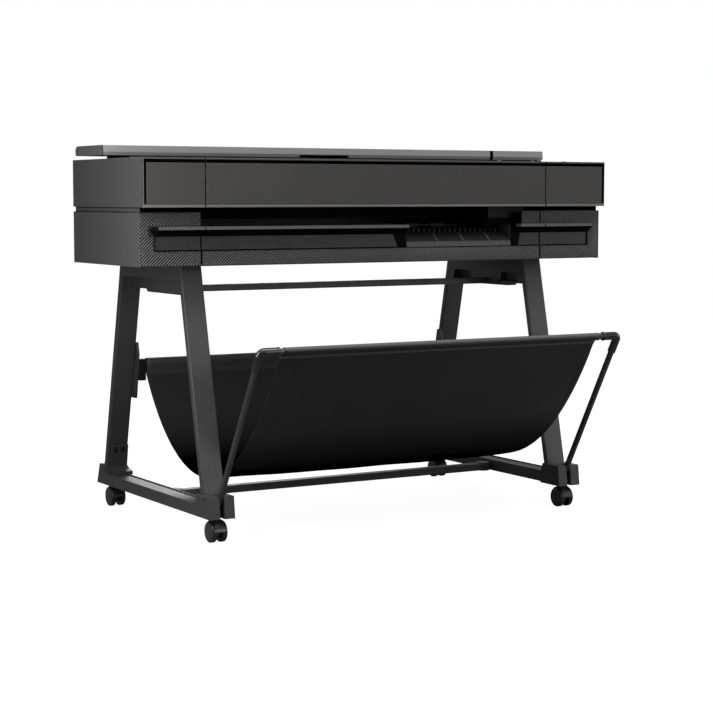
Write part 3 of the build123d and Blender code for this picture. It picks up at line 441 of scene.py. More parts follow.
def ramp_finish():
    """Output ramp: near black, with a paler strip of painted highlight upright along its front and black
    flanges of painted shadow beside it.
    """
    f = moulded("ramp", grey(ramp_tone), rough=0.45)
    strip = f.within(f.y, lower_front, lower_front + 2.6 * millimetre)
    # Painted highlight: a paler strip along the ramp's upright front.
    f.paint_over(strip, grey(ramp_strip_highlight_tone))
    flange = f.within(f.y, lower_front + 4.0 * millimetre, lower_front + 9.0 * millimetre)
    beside = f.calc("SUBTRACT", 1.0, f.within(f.x, ramp_left, ramp_right))
    # Painted shadow: the flanges beside the ramp's mouth are black.
    f.blacken(f.times(flange, beside), specular=0.02)
    return f.material


def painted_steel(
    name, value, rough, specular=0.35, peel_depth=0.09 * millimetre, edge_radius=1.0 * millimetre
):
    """Powder-coated steel: fine orange peel and a painted highlight along its edges, rounded only where
    edge_radius isn't 0.
    """
    f = Finish(name, Specular_IOR_Level=specular)
    tone = f.between(f.noise(0.15, 3.0), 0.3, 0.7)
    base = f.mix(tone, grey(value * 0.88), grey(value * 1.12))
    # Painted highlight: paler along every edge.
    f.colour(f.mix(f.times(f.edges(1.2 * millimetre), 0.5), base, grey(value * 2.2)))
    f.roughness(f.between(f.noise(0.02, 4.0), 0.3, 0.7, rough - 0.07, rough + 0.07))
    peel = f.calc("ADD", f.noise(1.1 * millimetre, 1.0), f.times(f.noise(0.3 * millimetre), 0.4))
    f.normal(f.bump(peel, peel_depth, f.rounded(edge_radius) if edge_radius else None))
    return f.material


def brushed_steel(name, value, stretch):
    """Bare steel with a grain drawn out along one axis."""
    f = Finish(name, Metallic=1.0)
    grain = f.noise(0.5 * millimetre, 3.0, stretch)
    f.colour(f.mix(grain, grey(value * 0.8), grey(value * 1.15)))
    f.roughness(f.between(grain, 0.3, 0.7, 0.26, 0.42))
    f.normal(f.bump(grain, 0.01 * millimetre, f.rounded(0.3 * millimetre)))
    return f.material


def rubber(name, value):
    """Matt rubber with a fine ground surface."""
    f = Finish(name, Specular_IOR_Level=0.25)
    grain = f.noise(0.35 * millimetre, 4.0)
    f.colour(f.mix(f.noise(0.02), grey(value * 0.8), grey(value * 1.3)))
    f.roughness(f.between(grain, 0.3, 0.7, 0.72, 0.88))
    f.normal(f.bump(grain, 0.08 * millimetre))
    return f.material


def glossy(name, colour, rough):
    """Polished plastic with faint moulding waves and a few hairline scuffs."""
    f = Finish(name, Specular_IOR_Level=0.5)
    f.colour(f.mix(f.noise(0.03, 3.0), shade(colour, 0.85), shade(colour, 1.2)))
    scuffs = f.between(f.noise(0.8 * millimetre, 4.0, (12.0, 1.0, 1.0)), 0.62, 0.72)
    f.roughness(f.between(scuffs, 0.0, 1.0, rough, rough + 0.16))
    f.normal(f.bump(f.noise(0.012, 1.0), 0.05 * millimetre, f.rounded(0.6 * millimetre)))
    return f.material


def cloth_finish():
    """Close-woven black nylon: crossing threads and a soft sheen, with painted shade deep in the trough, a
    painted highlight band halfway up, painted sheen and highlights on the sleeves and hem, and a black
    crease of painted shade.
    """
    thread_pitch = 1.1 * millimetre
    shadow, middle = cloth_low[Z] + 30.0 * millimetre, cloth_low[Z] + 140.0 * millimetre
    rear_wall = cloth_high[Y] - 100.0 * millimetre
    crease = cloth_length - front_hem
    f = Finish("bin_cloth_weave", Sheen_Roughness=0.3, Sheen_Tint=grey(0.6))
    uv = f.add("ShaderNodeUVMap", {"uv_map": "cut"}).outputs[0]
    across, along, _ = f.add("ShaderNodeSeparateXYZ", Vector=uv).outputs
    turn = 2 * math.pi / thread_pitch
    warp = f.calc("SINE", f.times(across, turn))
    weft = f.calc("SINE", f.times(along, turn))
    yarn = f.between(f.times(warp, weft), -1.0, 1.0)
    slub = f.noise(2.5 * millimetre, 3.0, (8.0, 1.0, 1.0))
    tone = f.times(f.between(f.noise(0.11, 4.0), 0.25, 0.75, 0.5, 1.0), yarn)
    # Painted shade and highlight: the cloth darkens towards the bottom of the trough and towards the tube,
    # leaving a lighter band between.
    depth = f.between(f.z, shadow, middle)
    top_shade = f.between(f.z, middle, tube_z, 1.0, 0.25)
    f.colour(f.mix(f.times(tone, f.times(depth, top_shade)), grey(cloth_shade_tone), grey(cloth_tone)))
    # Painted light: the inner rear wall gets a set tone for how it is lit.
    f.paint_over(f.between(f.y, rear_wall - 60.0 * millimetre, rear_wall), grey(rear_wall_shading_tone))
    rear_sleeve = f.times(f.above(f.z, bar_low[Z] - rear_seam_drop), f.above(f.y, rear_wall))
    # Painted sheen on the rear sleeve.
    f.paint_over(rear_sleeve, grey(rear_sleeve_sheen_tone))
    # Painted highlight along the top of the front sleeve.
    f.paint_over(f.between(f.z, tube_z, tube_z + tube_radius), grey(front_sleeve_highlight_tone))
    # The shine and sheen fade out with the painted shade deep in the trough.
    f.feed(f.shader, "Specular IOR Level", f.between(depth, 0.0, 1.0, 0.0, 0.4))
    f.feed(f.shader, "Sheen Weight", f.between(depth, 0.0, 1.0, 0.0, 0.06))
    f.roughness(f.between(slub, 0.3, 0.7, 0.42, 0.56))
    f.normal(f.bump(f.calc("ADD", yarn, slub), 0.16 * millimetre))
    # Painted shade: a black crease where the sleeve meets the doubled hem.
    f.blacken(f.within(along, crease - 1.6 * millimetre, crease + 0.4 * millimetre))
    # Painted highlight on the doubled hem below the crease.
    f.paint_over(f.above(along, crease + 0.4 * millimetre), grey(front_hem_highlight_tone))
    return f.material


def thread_finish():
    """Sewing thread, a little glossier than the cloth and twisted."""
    f = Finish("sewing_thread", Specular_IOR_Level=0.3)
    twist = f.add("ShaderNodeTexWave", Vector=f.place, Scale=900.0, Distortion=1.5).outputs["Fac"]
    f.colour(f.mix(twist, grey(0.012), grey(0.035)))
    f.roughness(f.between(twist, 0.0, 1.0, 0.5, 0.65))
    f.normal(f.bump(twist, 0.1 * millimetre))
    return f.material


def paper_finish():
    """A paper roll: white, with its wound edges showing as fine rings on the ends."""
    low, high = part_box("paper_roll")
    centre = (low + high) / 2
    half_width = (high[X] - low[X]) / 2
    turn = 2 * math.pi / (0.6 * millimetre)
    f = Finish("paper", Specular_IOR_Level=0.3)
    dx, dy, dz = (f.calc("SUBTRACT", place, centre[axis]) for axis, place in enumerate((f.x, f.y, f.z)))
    radius = f.calc("SQRT", f.calc("ADD", f.times(dy, dy), f.times(dz, dz)))
    rings = f.between(f.calc("SINE", f.times(radius, turn)), -1.0, 1.0)
    wound = f.times(rings, f.above(f.size(dx), half_width - millimetre))
    fibre = f.noise(0.4 * millimetre, 4.0)
    f.colour(f.mix(wound, f.mix(fibre, grey(0.78), grey(0.84)), grey(0.55, 0.03)))
    f.roughness(f.between(fibre, 0.3, 0.7, 0.78, 0.9))
    f.normal(f.bump(f.calc("ADD", fibre, wound), 0.05 * millimetre))
    return f.material


def glass_finish():
    """The screen's cover glass: black, mirror-smooth, with faint finger smears."""
    f = Finish("screen_glass", Specular_IOR_Level=0.5, Coat_Weight=0.5, Coat_Roughness=0.04)
    smear = f.between(f.noise(0.02, 3.0, (1.0, 2.5, 1.0)), 0.45, 0.7)
    f.colour(f.mix(smear, grey(0.004), grey(0.008)))
    f.roughness(f.between(smear, 0.0, 1.0, 0.06, 0.2))
    return f.material


def floor_finish():
    """A plain pale floor that the camera sees lit from within, which leaves only a faint shadow on it."""
    f = Finish("pale_floor", Specular_IOR_Level=0.0)
    f.colour(f.mix(f.noise(0.6, 3.0), grey(0.18), grey(0.2)))
    f.roughness(0.9)
    f.feed(f.shader, "Emission Color", grey(1.0))
    seen = f.add("ShaderNodeLightPath").outputs["Is Camera Ray"]
    f.feed(f.shader, "Emission Strength", f.times(seen, 0.93))
    return f.material


cover = cover_finish()
lower_cover = lower_cover_finish()
lid = lid_finish()
panel = moulded("front_panel", grey(0.037, 0.14), rough=0.62, specular=0.2, wear=0.0).material
fascia = fascia_finish()
# A lighter copy of the fascia plastic: painted light on the ribs against the painted shade between them.
lit_rib_plastic = moulded("lit_rib_plastic", grey(0.068), rough=0.5, wear=0.0).material
ramp = ramp_finish()
inner_plastic = moulded("inner_plastic", grey(0.005), rough=0.5, specular=0.08).material
deck_plastic = deck_finish()
stand_paint = painted_steel("stand_paint", 0.032, rough=0.42)
bar_paint = painted_steel(
    "bar_paint", 0.018, rough=0.27, specular=0.6, peel_depth=0.01 * millimetre, edge_radius=0.0
)
chassis_paint = painted_steel("chassis_paint", 0.003, rough=0.6, specular=0.04)
bolt_black = painted_steel("bolt_black", 0.006, rough=0.35, specular=0.3)
steel_y = brushed_steel("steel_along_y", 0.5, stretch=(1.0, 20.0, 1.0))
elbow_plastic = glossy("elbow_plastic", grey(0.01), rough=0.2)
castor_plastic = glossy("castor_plastic", grey(0.018), rough=0.28)
tyre = glossy("wheel_plastic", grey(0.014), rough=0.22)
roller_rubber = rubber("roller_rubber", 0.025)
belt_rubber = rubber("belt_rubber", 0.014)
carriage_plastic = moulded("carriage_plastic", grey(0.004), rough=0.4, specular=0.1).material
button_plastic = glossy("button_plastic", grey(0.06), rough=0.25)
shoe_plastic = moulded("shoe_plastic", grey(0.03), rough=0.6, specular=0.1).material
cartridge_plastic = moulded("cartridge_plastic", grey(0.07), rough=0.4).material
cloth = cloth_finish()
thread = thread_finish()
paper = paper_finish()
glass = glass_finish()

finishes = {
    cover: ["left_top_cover", "right_top_cover", "front_door"],
    lower_cover: ["left_lower_cover", "right_lower_cover", "rear_cover"],
    lid: ["roll_cover", "control_panel"],
    deck_plastic: ["roll_deck"],
    panel: ["front_panel_left", "front_panel_centre", "front_panel_right"],
    fascia: ["left_fascia", "centre_fascia", "ink_door"],
    ramp: ["output_ramp"],
    inner_plastic: ["platen", "service_station", "power_inlet", "roll_spindle"],
    bar_paint: ["bin_front_tube", "bin_left_rod", "bin_right_rod", "bin_rear_bar"],
    elbow_plastic: ["bin_left_elbow", "bin_right_elbow"],
    chassis_paint: ["chassis", "electronics_box", "carriage_rail"],
    bolt_black: ["stand_bolts"],
    steel_y: ["carriage_motor", "drive_pulley", "idler_pulley"],
    roller_rubber: ["feed_roller", "pinch_roller"],
    belt_rubber: ["carriage_belt"],
    carriage_plastic: ["carriage"],
    button_plastic: ["power_button"],
    cartridge_plastic: ["ink_cartridges"],
    paper: ["paper_roll"],
}
stand_words = ("leg", "beam", "cap", "crossbar", "brackets")
finishes[stand_paint] = [name for name in nodes if name.endswith(stand_words)]
finishes[castor_plastic] = [name for name in nodes if name.endswith("_hood")]
finishes[tyre] = [name for name in nodes if name.endswith("_wheels")]


def paint_nodes():
    """Gives every CAD node its finish."""
    for material, names in finishes.items():
        for name in names:
            mesh = nodes[name].data
            mesh.materials.clear()
            mesh.materials.append(material)


# ---- mesh building blocks -----------------------------------------------------------------------
def piece(name, vertices, faces, material, smooth=True):
    """A new object from vertices and faces, its normals turned outwards."""
    mesh = bpy.data.meshes.new(name)
    mesh.from_pydata([tuple(v) for v in vertices], [], faces)
    solid = bmesh.new()
    solid.from_mesh(mesh)
    bmesh.ops.recalc_face_normals(solid, faces=solid.faces)
    solid.to_mesh(mesh)
    solid.free()
    for polygon in mesh.polygons:
        polygon.use_smooth = smooth
    mesh.materials.append(material)
    made = bpy.data.objects.new(name, mesh)
    bpy.context.scene.collection.objects.link(made)
    return made


def soften(made, width):
    """Rounds a piece's sharp edges."""
    bevel = made.modifiers.new("bevel", "BEVEL")
    bevel.width = width
    bevel.segments = 2
    bevel.limit_method = "ANGLE"


def strip_faces(rows, columns, closed=False, start=0):
    """Quads between neighbouring rows of equally many points."""
    wrap = columns if closed else columns - 1
    faces = []
    for row in range(rows - 1):
        for column in range(wrap):
            a = start + row * columns + column
            b = start + row * columns + (column + 1) % columns
            faces.append((a, b, b + columns, a + columns))
    return faces


def end_faces(rows, columns, start=0):
    """The two faces that close a tube of rows of points at its ends."""
    last = start + (rows - 1) * columns
    return [tuple(range(start, start + columns)), tuple(range(last, last + columns))]


def lathe(name, profile, centre, axis, material, turns=48):
    """A closed solid turned about an axis through centre, from (radius, distance along it) points."""
    axis = Vector(axis).normalized()
    side = axis.orthogonal().normalized()
    other = axis.cross(side)
    vertices = []
    for radius, distance in profile:
        for step in range(turns):
            angle = 2 * math.pi * step / turns
            out = side * math.cos(angle) + other * math.sin(angle)
            vertices.append(Vector(centre) + axis * distance + out * radius)
    faces = strip_faces(len(profile), turns, closed=True) + end_faces(len(profile), turns)
    return piece(name, vertices, faces, material)


def boxes(name, limits, material):
    """One piece of many small boxes, each given by its low and high corners."""
    sides = ((0, 1, 3, 2), (4, 6, 7, 5), (0, 4, 5, 1), (2, 3, 7, 6), (0, 2, 6, 4), (1, 5, 7, 3))
    vertices, faces = [], []
    for low, high in limits:
        start = len(vertices)
        for x in (low[X], high[X]):
            for y in (low[Y], high[Y]):
                for z in (low[Z], high[Z]):
                    vertices.append((x, y, z))
        for side in sides:
            faces.append(tuple(start + corner for corner in side))
    return piece(name, vertices, faces, material, smooth=False)


def plate(name, low, high, corner, material, steps=6):
    """A flat plate with rounded corners, seen from above, between two heights."""
    right, back = high[X] - corner, high[Y] - corner
    left, front = low[X] + corner, low[Y] + corner
    outline = []
    for quarter, centre in enumerate(((right, back), (left, back), (left, front), (right, front))):
        for step in range(steps + 1):
            angle = math.pi / 2 * (quarter + step / steps)
            outline.append((centre[X] + corner * math.cos(angle), centre[Y] + corner * math.sin(angle)))
    vertices = [(x, y, z) for z in (low[Z], high[Z]) for x, y in outline]
    faces = strip_faces(2, len(outline), closed=True) + end_faces(2, len(outline))
    return piece(name, vertices, faces, material, smooth=False)


# ---- catch bin cloth ----------------------------------------------------------------------------
# The cloth's shallow waves: each has a height, the radians it turns per metre along x and over the whole
# trough, and the angle it starts at. Near the two open ends the cloth also curls away from them.
waves = (
    (1.6 * millimetre, 7.1, 0.0, 1.3),
    (0.8 * millimetre, 13.7, -4.0, 0.0),
    (0.35 * millimetre, 31.0, 5.0, 0.6),
)
end_curl = 2.2 * millimetre
curled_share = 0.1


def cloth_waves(x, share):
    """How far the cloth stands off its mean line at x, share of the way round the trough."""
    held = math.sin(math.pi * min(1.0, max(0.0, share)))
    waving = sum(high * math.sin(turn * x + drift * share + start) for high, turn, drift, start in waves)
    curled = max(0.0, 1 - (cloth_high[X] - abs(x)) / (curled_share * cloth_high[X]))
    return held * (waving - end_curl * curled ** 2)


def cloth_strip(name, rows, across, first, last, thickness):
    """Cloth on some rows of the bin's line at the distances across; its waves run from first to last."""
    vertices, places = [], []
    for index in rows:
        point = cloth_points[index]
        before = cloth_points[max(0, index - 1)]
        after = cloth_points[min(len(cloth_points) - 1, index + 1)]
        direction = (after - before).normalized()
        inward = Vector((0, -direction[Z], direction[Y]))
        share = (cloth_marks[index] - first) / (last - first)
        for x in across:
            vertices.append(Vector((x, point[Y], point[Z])) + inward * cloth_waves(x, share))
            places.append((x, cloth_marks[index]))
    made = piece(name, vertices, strip_faces(len(rows), len(across)), cloth)
    layer = made.data.uv_layers.new(name="cut")
    for loop in made.data.loops:
        layer.data[loop.index].uv = places[loop.vertex_index]
    thicken = made.modifiers.new("thickness", "SOLIDIFY")
    thicken.thickness = thickness
    thicken.offset = 0
    return made


def make_cloth(half):
    """The bin's cloth: one sheet with a sleeve on the rear bar and another on the front tube."""
    columns = 132
    rear_sleeve, front_sleeve = 62.0 * millimetre, 98.0 * millimetre
    across = np.linspace(-half, half, columns + 1)
    rows = range(len(cloth_points))
    return cloth_strip("bin_cloth", rows, across, rear_sleeve, cloth_length - front_sleeve, cloth_thickness)


def make_hem(side, sign):
    """A folded hem down one open end of the trough, between the two sleeves."""
    columns = 5
    width = 14.0 * millimetre
    half = cloth_high[X] - 0.6 * millimetre
    first, last = 70.0 * millimetre, cloth_length - 110.0 * millimetre
    across = sign * np.linspace(half, half - width, columns)
    rows = [index for index, mark in enumerate(cloth_marks) if first < mark < last]
    hem = cloth_strip(f"{side}_end_hem", rows, across, first, last, 1.8 * cloth_thickness)
    soften(hem, 0.5 * millimetre)
    return hem


def make_stitches(name, y, z, normal):
    """A row of lockstitches along x at one height of the cloth."""
    pitch, stitch, radius = 4.0 * millimetre, 3.0 * millimetre, 0.35 * millimetre
    rings = ((-0.5, 0.2), (-0.4, 0.9), (0.0, 1.2), (0.4, 0.9), (0.5, 0.2))
    sides = 6
    half = cloth_high[X] - 4.0 * millimetre
    out = Vector(normal).normalized()
    across = Vector((1, 0, 0)).cross(out)
    vertices, faces = [], []
    for index in range(int(2 * half / pitch)):
        x = -half + pitch * (index + 0.5)
        start = len(vertices)
        for along, lift in rings:
            for step in range(sides):
                angle = 2 * math.pi * step / sides
                ring = across * math.cos(angle) + out * (math.sin(angle) + lift)
                vertices.append(Vector((x + along * stitch, y, z)) + ring * radius)
        faces += strip_faces(len(rings), sides, closed=True, start=start)
        faces += end_faces(len(rings), sides, start=start)
    return piece(name, vertices, faces, thread)


def dress_bin():
    """The cloth, its hems and its stitching, in place of the plain trough."""
    half = cloth_high[X] - millimetre
    made = make_cloth(half)
    hems = [make_hem(side, sign) for side, sign in (("left", -1), ("right", 1))]
    rear_y, rear_z = trough_rear[Y] - 2.4 * millimetre, trough_rear[Z] + 2.0 * millimetre
    rear = make_stitches("rear_hem_stitches", rear_y, rear_z, (0, -1, 0))
    outer = front_seam - sleeve_normal * (layer_step + 0.6 * millimetre)
    front = make_stitches("front_hem_stitches", outer[Y], outer[Z] + 1.5 * millimetre, -sleeve_normal)
    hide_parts("bin_fabric")
    for soft in [made, *hems]:
        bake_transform(soft)
    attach(rear, "root")
    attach(front, "bin_frame")


# ---- ribs of the lower front --------------------------------------------------------------------
rib_pitch = 5.65 * millimetre
rib_width = 2.3 * millimetre
rib_height = 0.9 * millimetre
rib_sunk = 0.02 * millimetre
rib_taper = 0.6 * millimetre
rib_section = ((-1.0, 0.0), (-0.6, 0.8), (0.0, 1.0), (0.6, 0.8), (1.0, 0.0))


def rib_runs(base, areas):
    """The lengths of one rib, as (low, high) heights, on which x = base + z lies inside any area."""
    touching = 0.01 * millimetre
    runs = []
    for x_low, x_high, z_low, z_high in sorted(areas, key=lambda area: area[2]):
        low = max(z_low, x_low - base)
        high = min(z_high, x_high - base)
        if high <= low:
            continue
        if runs and low <= runs[-1][1] + touching:
            runs[-1][1] = max(runs[-1][1], high)
        else:
            runs.append([low, high])
    return runs


def diagonal_ribs(name, areas, body):
    """Half-round ribs that rise to the right at 45 degrees over areas of the lower front.

    Each area is a rectangle (x low, x high, z low, z high), and a rib runs on where two areas touch.
    """
    step = rib_pitch * math.sqrt(2)
    half = rib_width / 2 * math.sqrt(2)
    x_lows, x_highs, z_lows, z_highs = zip(*areas)
    first = math.ceil((min(x_lows) - max(z_highs)) / step)
    last = math.floor((max(x_highs) - min(z_lows)) / step)
    vertices, faces = [], []
    for base in (index * step for index in range(first, last + 1)):
        for run_low, run_high in rib_runs(base, areas):
            low, high = run_low + half, run_high - half
            if high - low < rib_width:
                continue
            start = len(vertices)
            rows = ((low, 0.1), (low + rib_taper, 1.0), (high - rib_taper, 1.0), (high, 0.1))
            for z, lift in rows:
                for across, out in rib_section:
                    shift = across * half / 2
                    y = lower_front + rib_sunk - out * lift * rib_height
                    vertices.append((base + z + shift, y, z - shift))
            faces += strip_faces(len(rows), len(rib_section), start=start)
    made = piece(name, vertices, faces, lit_rib_plastic)
    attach(made, body)


def rib_fascias():
    """The ribbed fields round the smooth pocket, on all three pieces of the lower front."""
    edge = 0.5 * millimetre
    pocket = pocket_end + edge / 2
    lip_point = lip_end + 14.0 * millimetre + edge / 2
    low, high = body_bottom + edge, lower_top - edge
    below_pocket = (low, pocket_low - edge / 2)
    beside_pocket = (pocket_low - edge, lip_low)
    beside_lip = (lip_low, lip_high + edge)
    above_lip = (lip_high + edge, high)
    left = (body_left + edge * 2, left_seam - edge / 2)
    centre_low, centre_high = span("centre_fascia", X)
    centre = (centre_low + edge / 2, centre_high - edge / 2)
    right = (right_seam + edge / 2, door_right - edge * 2)
    slot_right = centre_high - 56.0 * millimetre
    areas = {
        "left_fascia": [
            (*left, *below_pocket),
            (*left, *above_lip),
            (left[0], -pocket, *beside_pocket),
            (left[0], -lip_point, *beside_lip),
        ],
        "centre_fascia": [
            (*centre, *below_pocket),
            (slot_right + edge, centre[1], *above_lip),
        ],
        "ink_door": [
            (*right, *below_pocket),
            (*right, *above_lip),
            (pocket, right[1], *beside_pocket),
            (lip_point, right[1], *beside_lip),
        ],
    }
    for node, rectangles in areas.items():
        diagonal_ribs(f"{node}_ribs", rectangles, "ink_door" if node == "ink_door" else "root")


# ---- detail pieces ------------------------------------------------------------------------------
def dress_control_panel():
    """The touch screen's cover glass in its recess."""
    low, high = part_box("control_panel")
    edge = 15.0 * millimetre
    front = low[Y] + 46.0 * millimetre
    depth = 98.0 * millimetre
    screen_low = (low[X] + edge, front, high[Z] - 1.2 * millimetre)
    screen_high = (high[X] - edge, front + depth, high[Z] - 0.2 * millimetre)
    screen = plate("touch_screen", screen_low, screen_high, 4.0 * millimetre, glass)
    soften(screen, 0.3 * millimetre)
    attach(screen, "control_panel")


def dress_rear_bar():
    """A black hook plate at each end of the bin's rear bar, between its bracket and the cloth."""
    half_depth = 10.0 * millimetre
    inner = cloth_high[X] + 2.0 * millimetre
    outer = span("bin_bar_brackets", X)[1] - 6.0 * millimetre
    bottom, top = bar_low[Z] - 40.0 * millimetre, bar_high[Z] + 1.5 * millimetre
    for side, ends in (("left", (-outer, -inner)), ("right", (inner, outer))):
        low = (ends[0], bar_y - half_depth, bottom)
        high = (ends[1], bar_y + half_depth, top)
        hook = boxes(f"bin_{side}_bar_hook", [(low, high)], inner_plastic)
        soften(hook, 2.0 * millimetre)
        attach(hook, "root")


def dress_castors():
    """Domed hub caps on the outer faces of each pair of castor wheels."""
    proud = 0.5 * millimetre
    for name in finishes[tyre]:
        low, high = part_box(name)
        centre = (low + high) / 2
        radius = (high[Z] - low[Z]) / 2
        profile = [
            (radius * 0.9, -2.5 * millimetre),
            (radius * 0.97, -2.0 * millimetre),
            (radius * 0.95, -0.6 * millimetre),
            (radius * 0.88, proud * 0.4),
            (radius * 0.6, proud * 1.2),
            (radius * 0.3, proud * 1.7),
            (radius * 0.1, proud * 1.8),
        ]
        for side, x, out in (("left", low[X], -1), ("right", high[X], 1)):
            cap_name = name.replace("wheels", f"{side}_hub_cap")
            cap = lathe(cap_name, profile, (x, centre[Y], centre[Z]), (out, 0, 0), castor_plastic)
            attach(cap, name.replace("wheels", "wheel_pair"))


def dress_elbows():
    """Moulded collars where each elbow meets the front tube."""
    for side, sign in (("left", -1), ("right", 1)):
        low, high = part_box(f"bin_{side}_elbow")
        inner = low[X] if sign > 0 else high[X]
        elbow_radius = high[Z] - tube_z
        profile = [
            (elbow_radius - 0.4 * millimetre, -0.4 * millimetre),
            (elbow_radius + 0.9 * millimetre, 0.2 * millimetre),
            (elbow_radius + 0.9 * millimetre, 4.0 * millimetre),
            (elbow_radius - 0.2 * millimetre, 5.0 * millimetre),
        ]
        collar = lathe(f"bin_{side}_collar", profile, (inner, tube_y, tube_z), (sign, 0, 0), elbow_plastic)
        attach(collar, "bin_frame")


def dress_ramp():
    """Low ribs that run up the steep part of the output ramp."""
    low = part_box("output_ramp")[0]
    platen_top = span("platen", Z)[1]
    front = (low[Y] + 1.0 * millimetre, low[Z] + 14.0 * millimetre)
    back = (low[Y] + 32.0 * millimetre, platen_top - 10.0 * millimetre)
    out_y, out_z = -0.57, 0.82
    bays = 4
    half = 0.9 * millimetre
    height, sunk = 0.8 * millimetre, -0.4 * millimetre
    section = ((-half, sunk), (-half / 2, height), (half / 2, height), (half, sunk))
    vertices, faces = [], []
    for index in range(1, bays):
        x = ramp_left + (ramp_right - ramp_left) * (index / bays + 0.05)
        start = len(vertices)
        for y, z in (front, back):
            vertices += [(x + across, y + lift * out_y, z + lift * out_z) for across, lift in section]
        faces += strip_faces(2, len(section), closed=True, start=start)
        faces += end_faces(2, len(section), start=start)
    ribs = piece("ramp_ribs", vertices, faces, lid)
    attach(ribs, "root")


def dress_exit():
    """A comb of paper guides along the top of the output ramp, each with a small paler shoe."""
    platen_top = span("platen", Z)[1]
    front = span("output_ramp", Y)[0] + 34.0 * millimetre
    foot, top = platen_top - 10.0 * millimetre, platen_top - 1.0 * millimetre
    pitch, width, depth = 15.5 * millimetre, 6.0 * millimetre, 14.0 * millimetre
    inset, proud = 1.2 * millimetre, 1.0 * millimetre
    shoe_low, shoe_high = foot + 2.0 * millimetre, foot + 5.0 * millimetre
    guides, shoes = [], []
    for index in range(int((ramp_right - ramp_left) / pitch)):
        left = ramp_left + pitch * (index + 0.5)
        right = left + width
        guides.append(((left, front, foot), (right, front + depth, top)))
        shoes.append(((left + inset, front - proud, shoe_low), (right - inset, front + proud, shoe_high)))
    parts = (("exit_guides", guides, inner_plastic), ("exit_shoes", shoes, shoe_plastic))
    for name, limits, finish in parts:
        made = boxes(name, limits, finish)
        soften(made, 0.5 * millimetre)
        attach(made, "root")


def dress_carriage():
    """Four ink tanks in the carriage's open wells."""
    low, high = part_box("carriage")
    first, pitch, width = 8.6 * millimetre, 24.5 * millimetre, 19.3 * millimetre
    front, back = low[Y] + 31.0 * millimetre, low[Y] + 92.0 * millimetre
    bottom, top = high[Z] - 34.0 * millimetre, high[Z] - 4.0 * millimetre
    tanks = []
    for slot in range(4):
        x = low[X] + first + slot * pitch
        tanks.append(((x, front, bottom), (x + width, back, top)))
    made = boxes("carriage_ink_tanks", tanks, cartridge_plastic)
    soften(made, 1.2 * millimetre)
    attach(made, "carriage")


def dress_back():
    """Two groups of ventilation louvres and two rows of screws on the rear cover."""
    low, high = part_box("rear_cover")
    face = high[Y]
    bars_in_group = 14
    group_starts = (-340.0 * millimetre, 300.0 * millimetre)
    pitch, width = 7.0 * millimetre, 3.2 * millimetre
    sunk, proud = 0.2 * millimetre, 0.9 * millimetre
    bottom, top = low[Z] + 44.0 * millimetre, low[Z] + 94.0 * millimetre
    starts = [start + index * pitch for start in group_starts for index in range(bars_in_group)]
    bars = [((x, face - sunk, bottom), (x + width, face + proud, top)) for x in starts]
    vents = boxes("rear_louvres", bars, lower_cover)
    soften(vents, 0.4 * millimetre)
    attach(vents, "root")
    end_inset, row_inset = 30.0 * millimetre, 12.0 * millimetre
    profile = [
        (3.6 * millimetre, -0.3 * millimetre),
        (3.6 * millimetre, 0.7 * millimetre),
        (2.6 * millimetre, 1.3 * millimetre),
        (1.6 * millimetre, 1.3 * millimetre),
        (1.4 * millimetre, 0.3 * millimetre),
    ]
    for index, x in enumerate(np.linspace(low[X] + end_inset, high[X] - end_inset, 5)):
        for row, z in (("lower", low[Z] + row_inset), ("upper", high[Z] - row_inset)):
            name = f"rear_screw_{row}_{index + 1}"
            screw = lathe(name, profile, (x, face, z), (0, 1, 0), steel_y, turns=20)
            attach(screw, "root")


# ---- studio -------------------------------------------------------------------------------------
def make_floor():
    """A plain pale floor, far larger than the view."""
    half = 40.0
    corners = [(-half, -half, 0), (half, -half, 0), (half, half, 0), (-half, half, 0)]
    floor = piece("floor", corners, [(0, 1, 2, 3)], floor_finish())


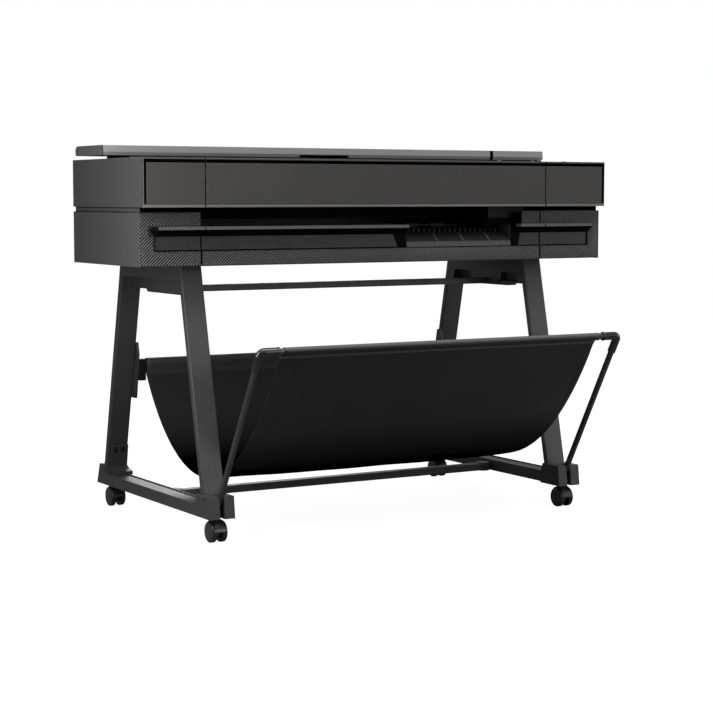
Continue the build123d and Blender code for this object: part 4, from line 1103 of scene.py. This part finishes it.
def make_world():
    """Even pale surroundings: white to the camera, but dimmer as light, and brightest overhead."""
    level_glow, top_glow, top_height = 0.22, 0.5, 0.9
    world = bpy.data.worlds.new("studio")
    bpy.context.scene.world = world
    world.use_nodes = True
    tree = world.node_tree
    direction = tree.nodes.new("ShaderNodeTexCoord").outputs["Generated"]
    split = tree.nodes.new("ShaderNodeSeparateXYZ")
    tree.links.new(direction, split.inputs[0])
    fade = tree.nodes.new("ShaderNodeMapRange")
    fade.inputs["From Max"].default_value = top_height
    fade.inputs["To Min"].default_value = level_glow
    fade.inputs["To Max"].default_value = top_glow
    tree.links.new(split.outputs["Z"], fade.inputs["Value"])
    seen = tree.nodes.new("ShaderNodeLightPath").outputs["Is Camera Ray"]
    strength = tree.nodes.new("ShaderNodeMix")
    tree.links.new(seen, strength.inputs["Factor"])
    tree.links.new(fade.outputs[0], strength.inputs["A"])
    strength.inputs["B"].default_value = 1.0
    background = tree.nodes["Background"]
    background.inputs["Color"].default_value = grey(1.0)
    tree.links.new(strength.outputs["Result"], background.inputs["Strength"])


def softbox(name, place, aim, size, power):
    """A soft rectangular light that points at aim."""
    data = bpy.data.lights.new(name, "AREA")
    data.shape = "RECTANGLE"
    data.size, data.size_y = size
    data.energy = power
    light = bpy.data.objects.new(name, data)
    light.visible_camera = False
    light.location = place
    light.rotation_mode = "QUATERNION"
    light.rotation_quaternion = (Vector(aim) - Vector(place)).to_track_quat("-Z", "Y")
    bpy.context.scene.collection.objects.link(light)


def make_lights():
    """A large key from above and in front, one beside each end, a fill from the right and one behind."""
    middle = (0.0, 0.0, 0.7)
    softbox("key", place=(-0.1, -1.0, 3.2), aim=middle, size=(3.2, 1.6), power=103.0)
    softbox("left_side", place=(-1.1, -0.36, 0.75), aim=(-0.66, -0.15, 0.72), size=(0.25, 0.9), power=8.5)
    softbox("right_fill", place=(1.8, -4.0, 1.1), aim=(0.4, 0.0, 0.7), size=(2.0, 1.2), power=30.0)
    softbox("right_side", place=(2.6, -1.3, 0.9), aim=(0.5, -0.3, 0.5), size=(0.6, 1.6), power=13.0)
    softbox("back", place=(0.6, 3.4, 1.6), aim=middle, size=(2.4, 1.2), power=40.0)


def make_camera():
    """The camera, at the photographed angle, without shift or depth of field."""
    azimuth, elevation = math.radians(-30.36), math.radians(4.81)
    level = math.cos(elevation)
    away = Vector((math.sin(azimuth) * level, -math.cos(azimuth) * level, math.sin(elevation)))
    data = bpy.data.cameras.new("camera")
    data.lens = 93.2
    data.sensor_width = 36.0
    camera = bpy.data.objects.new("camera", data)
    camera.location = (-2.3663, -4.0389, 0.8038)
    camera.rotation_mode = "QUATERNION"
    camera.rotation_quaternion = (-away).to_track_quat("-Z", "Y")
    bpy.context.scene.collection.objects.link(camera)
    bpy.context.scene.camera = camera


paint_nodes()
dress_bin()
rib_fascias()
dress_control_panel()
dress_rear_bar()
dress_castors()
dress_elbows()
dress_ramp()
dress_exit()
dress_carriage()
dress_back()
make_floor()
make_world()
make_lights()
make_camera()
bpy.context.scene.view_settings.view_transform = "Standard"
